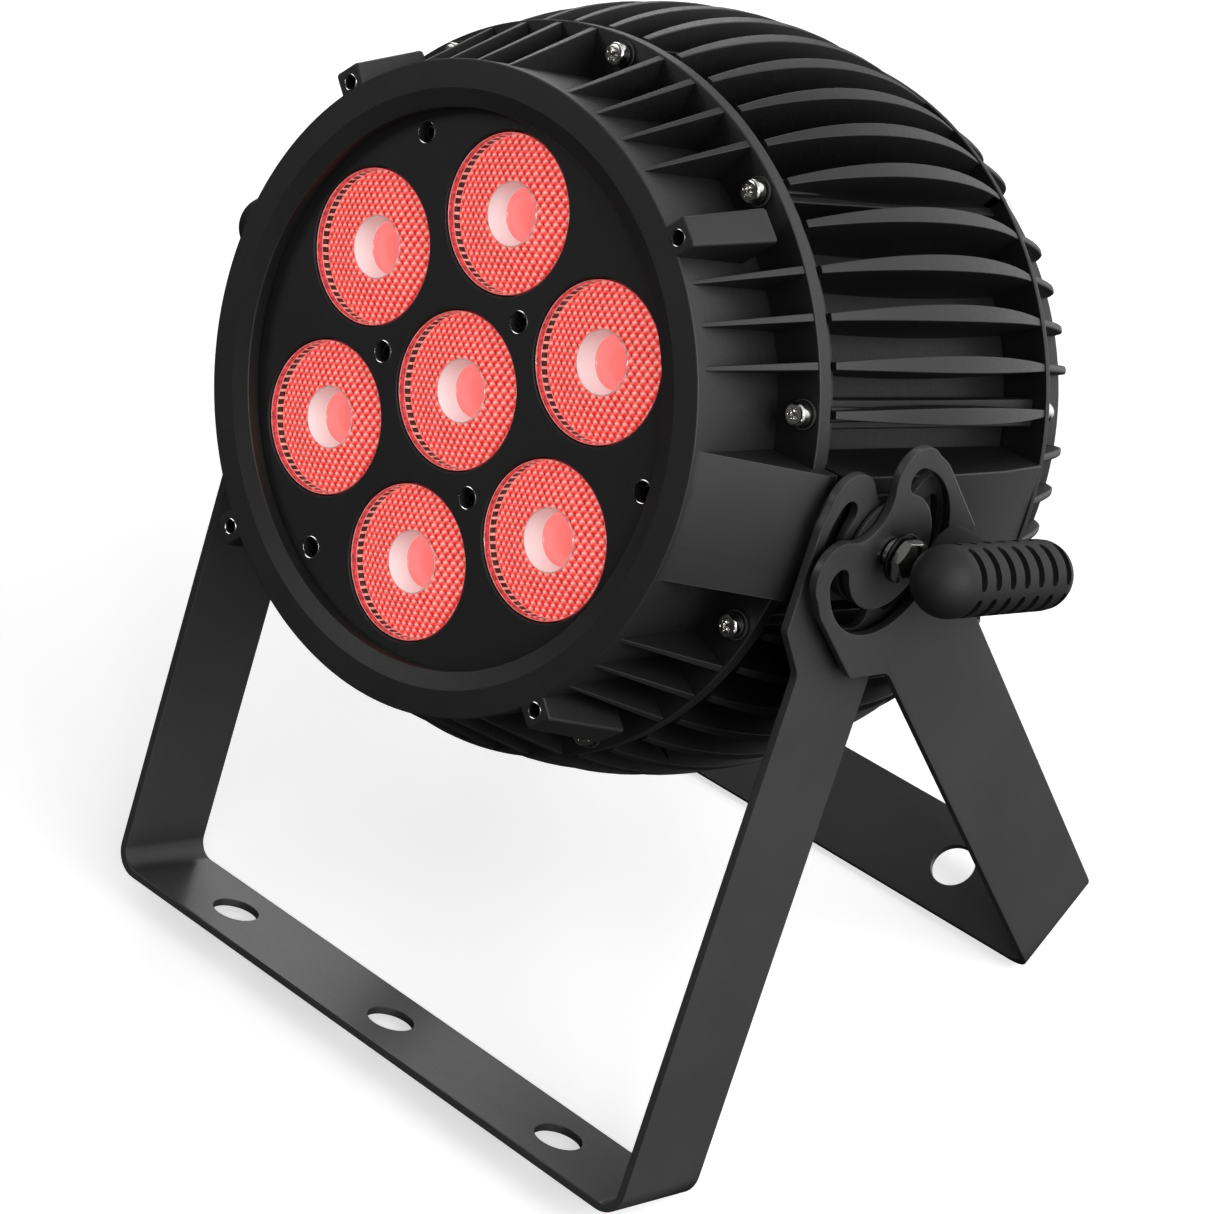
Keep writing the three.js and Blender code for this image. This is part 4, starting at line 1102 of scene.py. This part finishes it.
lever_data = metres(lever(), "lever")
nut_data = metres(hex_nut(), "nut")
for side, sign in SIDES.items():
    clamp = f"clamp_lever_{side}"
    washer("pad_washer", "head", side, PAD_FACE_X + 0.3, FRONT_YOKE_X - YOKE_THICK - 0.3)
    washer("yoke_washer", "front_yoke", side, FRONT_YOKE_X + 0.3, REAR_YOKE_X - YOKE_THICK - 0.3)
    spun(f"pivot_stud_rod_{side}", [(0, 86), (STUD_R, 86), (STUD_R, REAR_YOKE_X + 0.2), (3.7, REAR_YOKE_X + 0.2),
                                    (3.7, NUT_X - 0.1), (0, NUT_X - 0.1)], side, chrome, f"pivot_stud_{side}")
    spun(f"pivot_collar_{side}", [(0, NUT_X - 0.05), (6.2, NUT_X - 0.05), (6.2, NUT_X + 0.75), (0, NUT_X + 0.75)],
         side, black_steel)
    nut_spot = HEAD @ SIDEWAYS[side] @ Matrix.Translation((0, NUT_X + 0.9, 0))
    add(f"lever_nut_hex_{side}", nut_data, in_metres(nut_spot), clamp, [chrome], [f"lever_nut_{side}"])
    grip_spot = head_at(sign * LEVER_X, 0, 0) @ Matrix.Diagonal((sign, 1, sign, 1))
    add(f"clamp_lever_grip_{side}", lever_data, in_metres(grip_spot), clamp, [grip_rubber], [clamp])


# ------------------------------ studio
def floor():
    data = bpy.data.meshes.new("floor")
    data.from_pydata([(u, v, 0) for u, v in circle(6, 96)], [], [tuple(range(96))])
    item = put("floor", data)
    item.location = (pivot.x, pivot.y, cad_box[0].z - 0.0002)
    material, graph, shader = new_material("floor_white")
    graph.fill(shader, {"Base Color": graph.two_tone(graph.noise(3), grey(0.86, 0), grey(0.87, 0)), "Roughness": 0.9,
                        "Specular IOR Level": 0.1, "Emission Color": (1, 1, 1, 1), "Emission Strength": 0.6})
    data.materials.append(material)
    item.visible_diffuse = False
    item.visible_glossy = False


def soft_box(name, place, size, power):
    """A square area light that faces the pivot."""
    data = bpy.data.lights.new(name, "AREA")
    data.size = size
    data.energy = power
    item = put(name, data)
    item.location = pivot + Vector(place)
    item.rotation_mode = "QUATERNION"
    item.rotation_quaternion = Vector(place).to_track_quat("Z", "Y")


ROOM_BASE = 0.025  # brightness of the room outside its patches
# each bright patch: its direction, the cosine where it starts, its brightness, and whether only reflections see it
ROOM_PATCHES = (((0.88, 0.1, 0.46), 0.25, 1.15, False), ((-0.1, 0.5, 0.85), 0.3, 0.25, False),
                ((-0.62, -0.6, 0.5), 0.94, 3.5, True), ((-0.6, 0.6, 0.5), 0.94, 2.5, True),
                ((0.1, 1.0, -0.1), 0.75, 1.6, True))


def world():
    """White to the camera; to the object a soft room that is bright on the right and above, dark in front."""
    room = bpy.data.worlds.new("studio")
    graph = Graph(room)
    graph.nodes.clear()
    rays = graph.nodes.new("ShaderNodeLightPath").outputs
    place = graph.add("TexCoord", {}, "Generated")
    total = ROOM_BASE
    for direction, low, gain, gloss_only in ROOM_PATCHES:
        dot = graph.add("VectorMath", {0: place, 1: Vector(direction).normalized()}, "Value", operation="DOT_PRODUCT")
        part = graph.add("MapRange", {"Value": dot, "From Min": low, "To Max": gain}, "Result",
                         interpolation_type="SMOOTHSTEP")
        if gloss_only:
            part = graph.add("Math", {0: part, 1: rays["Is Glossy Ray"]}, operation="MULTIPLY")
        total = graph.add("Math", {0: total, 1: part}, operation="ADD")
    lit = graph.add("Background", {"Strength": total})
    seen = graph.add("Background", {"Color": (1, 1, 1, 1)})
    mix = graph.add("MixShader", {0: rays["Is Camera Ray"], 1: lit, 2: seen})
    graph.fill(graph.nodes.new("ShaderNodeOutputWorld"), {"Surface": mix})
    bpy.context.scene.world = room


CAMERA_FROM_PIVOT = (0.5281, -0.5310, 0.4480)
CAMERA_ANGLES = (44.3 * DEG, 34.49 * DEG, 0.81 * DEG)  # azimuth, elevation and roll
CAMERA_LENS = 101.76


def camera():
    azimuth, elevation, roll = CAMERA_ANGLES
    forward = Vector((-math.sin(azimuth) * math.cos(elevation), math.cos(azimuth) * math.cos(elevation),
                      -math.sin(elevation)))
    level = Vector((math.cos(azimuth), math.sin(azimuth), 0))
    upright = level.cross(forward)
    right = level * math.cos(roll) + upright * math.sin(roll)
    up = upright * math.cos(roll) - level * math.sin(roll)
    data = bpy.data.cameras.new("camera")
    data.sensor_width = 36
    data.lens = CAMERA_LENS
    data.clip_end = 50
    item = put("camera", data)
    turn = Matrix((right, up, -forward)).transposed().to_4x4()
    item.matrix_world = Matrix.Translation(pivot + Vector(CAMERA_FROM_PIVOT)) @ turn
    bpy.context.scene.camera = item


floor()
world()
camera()
soft_box("key", (1.5, 0.1, 0.9), 1.1, 13.5)
soft_box("top", (-0.2, 0.5, 1.6), 1.4, 2.2)
soft_box("back", (-1.3, 1.3, 0.4), 0.9, 5)
soft_box("edge", (1.1, -0.75, 0.75), 0.22, 2.2)
soft_box("low", (0.9, -1.2, -0.1), 0.2, 0.8)
bpy.context.scene.view_settings.view_transform = "Standard"
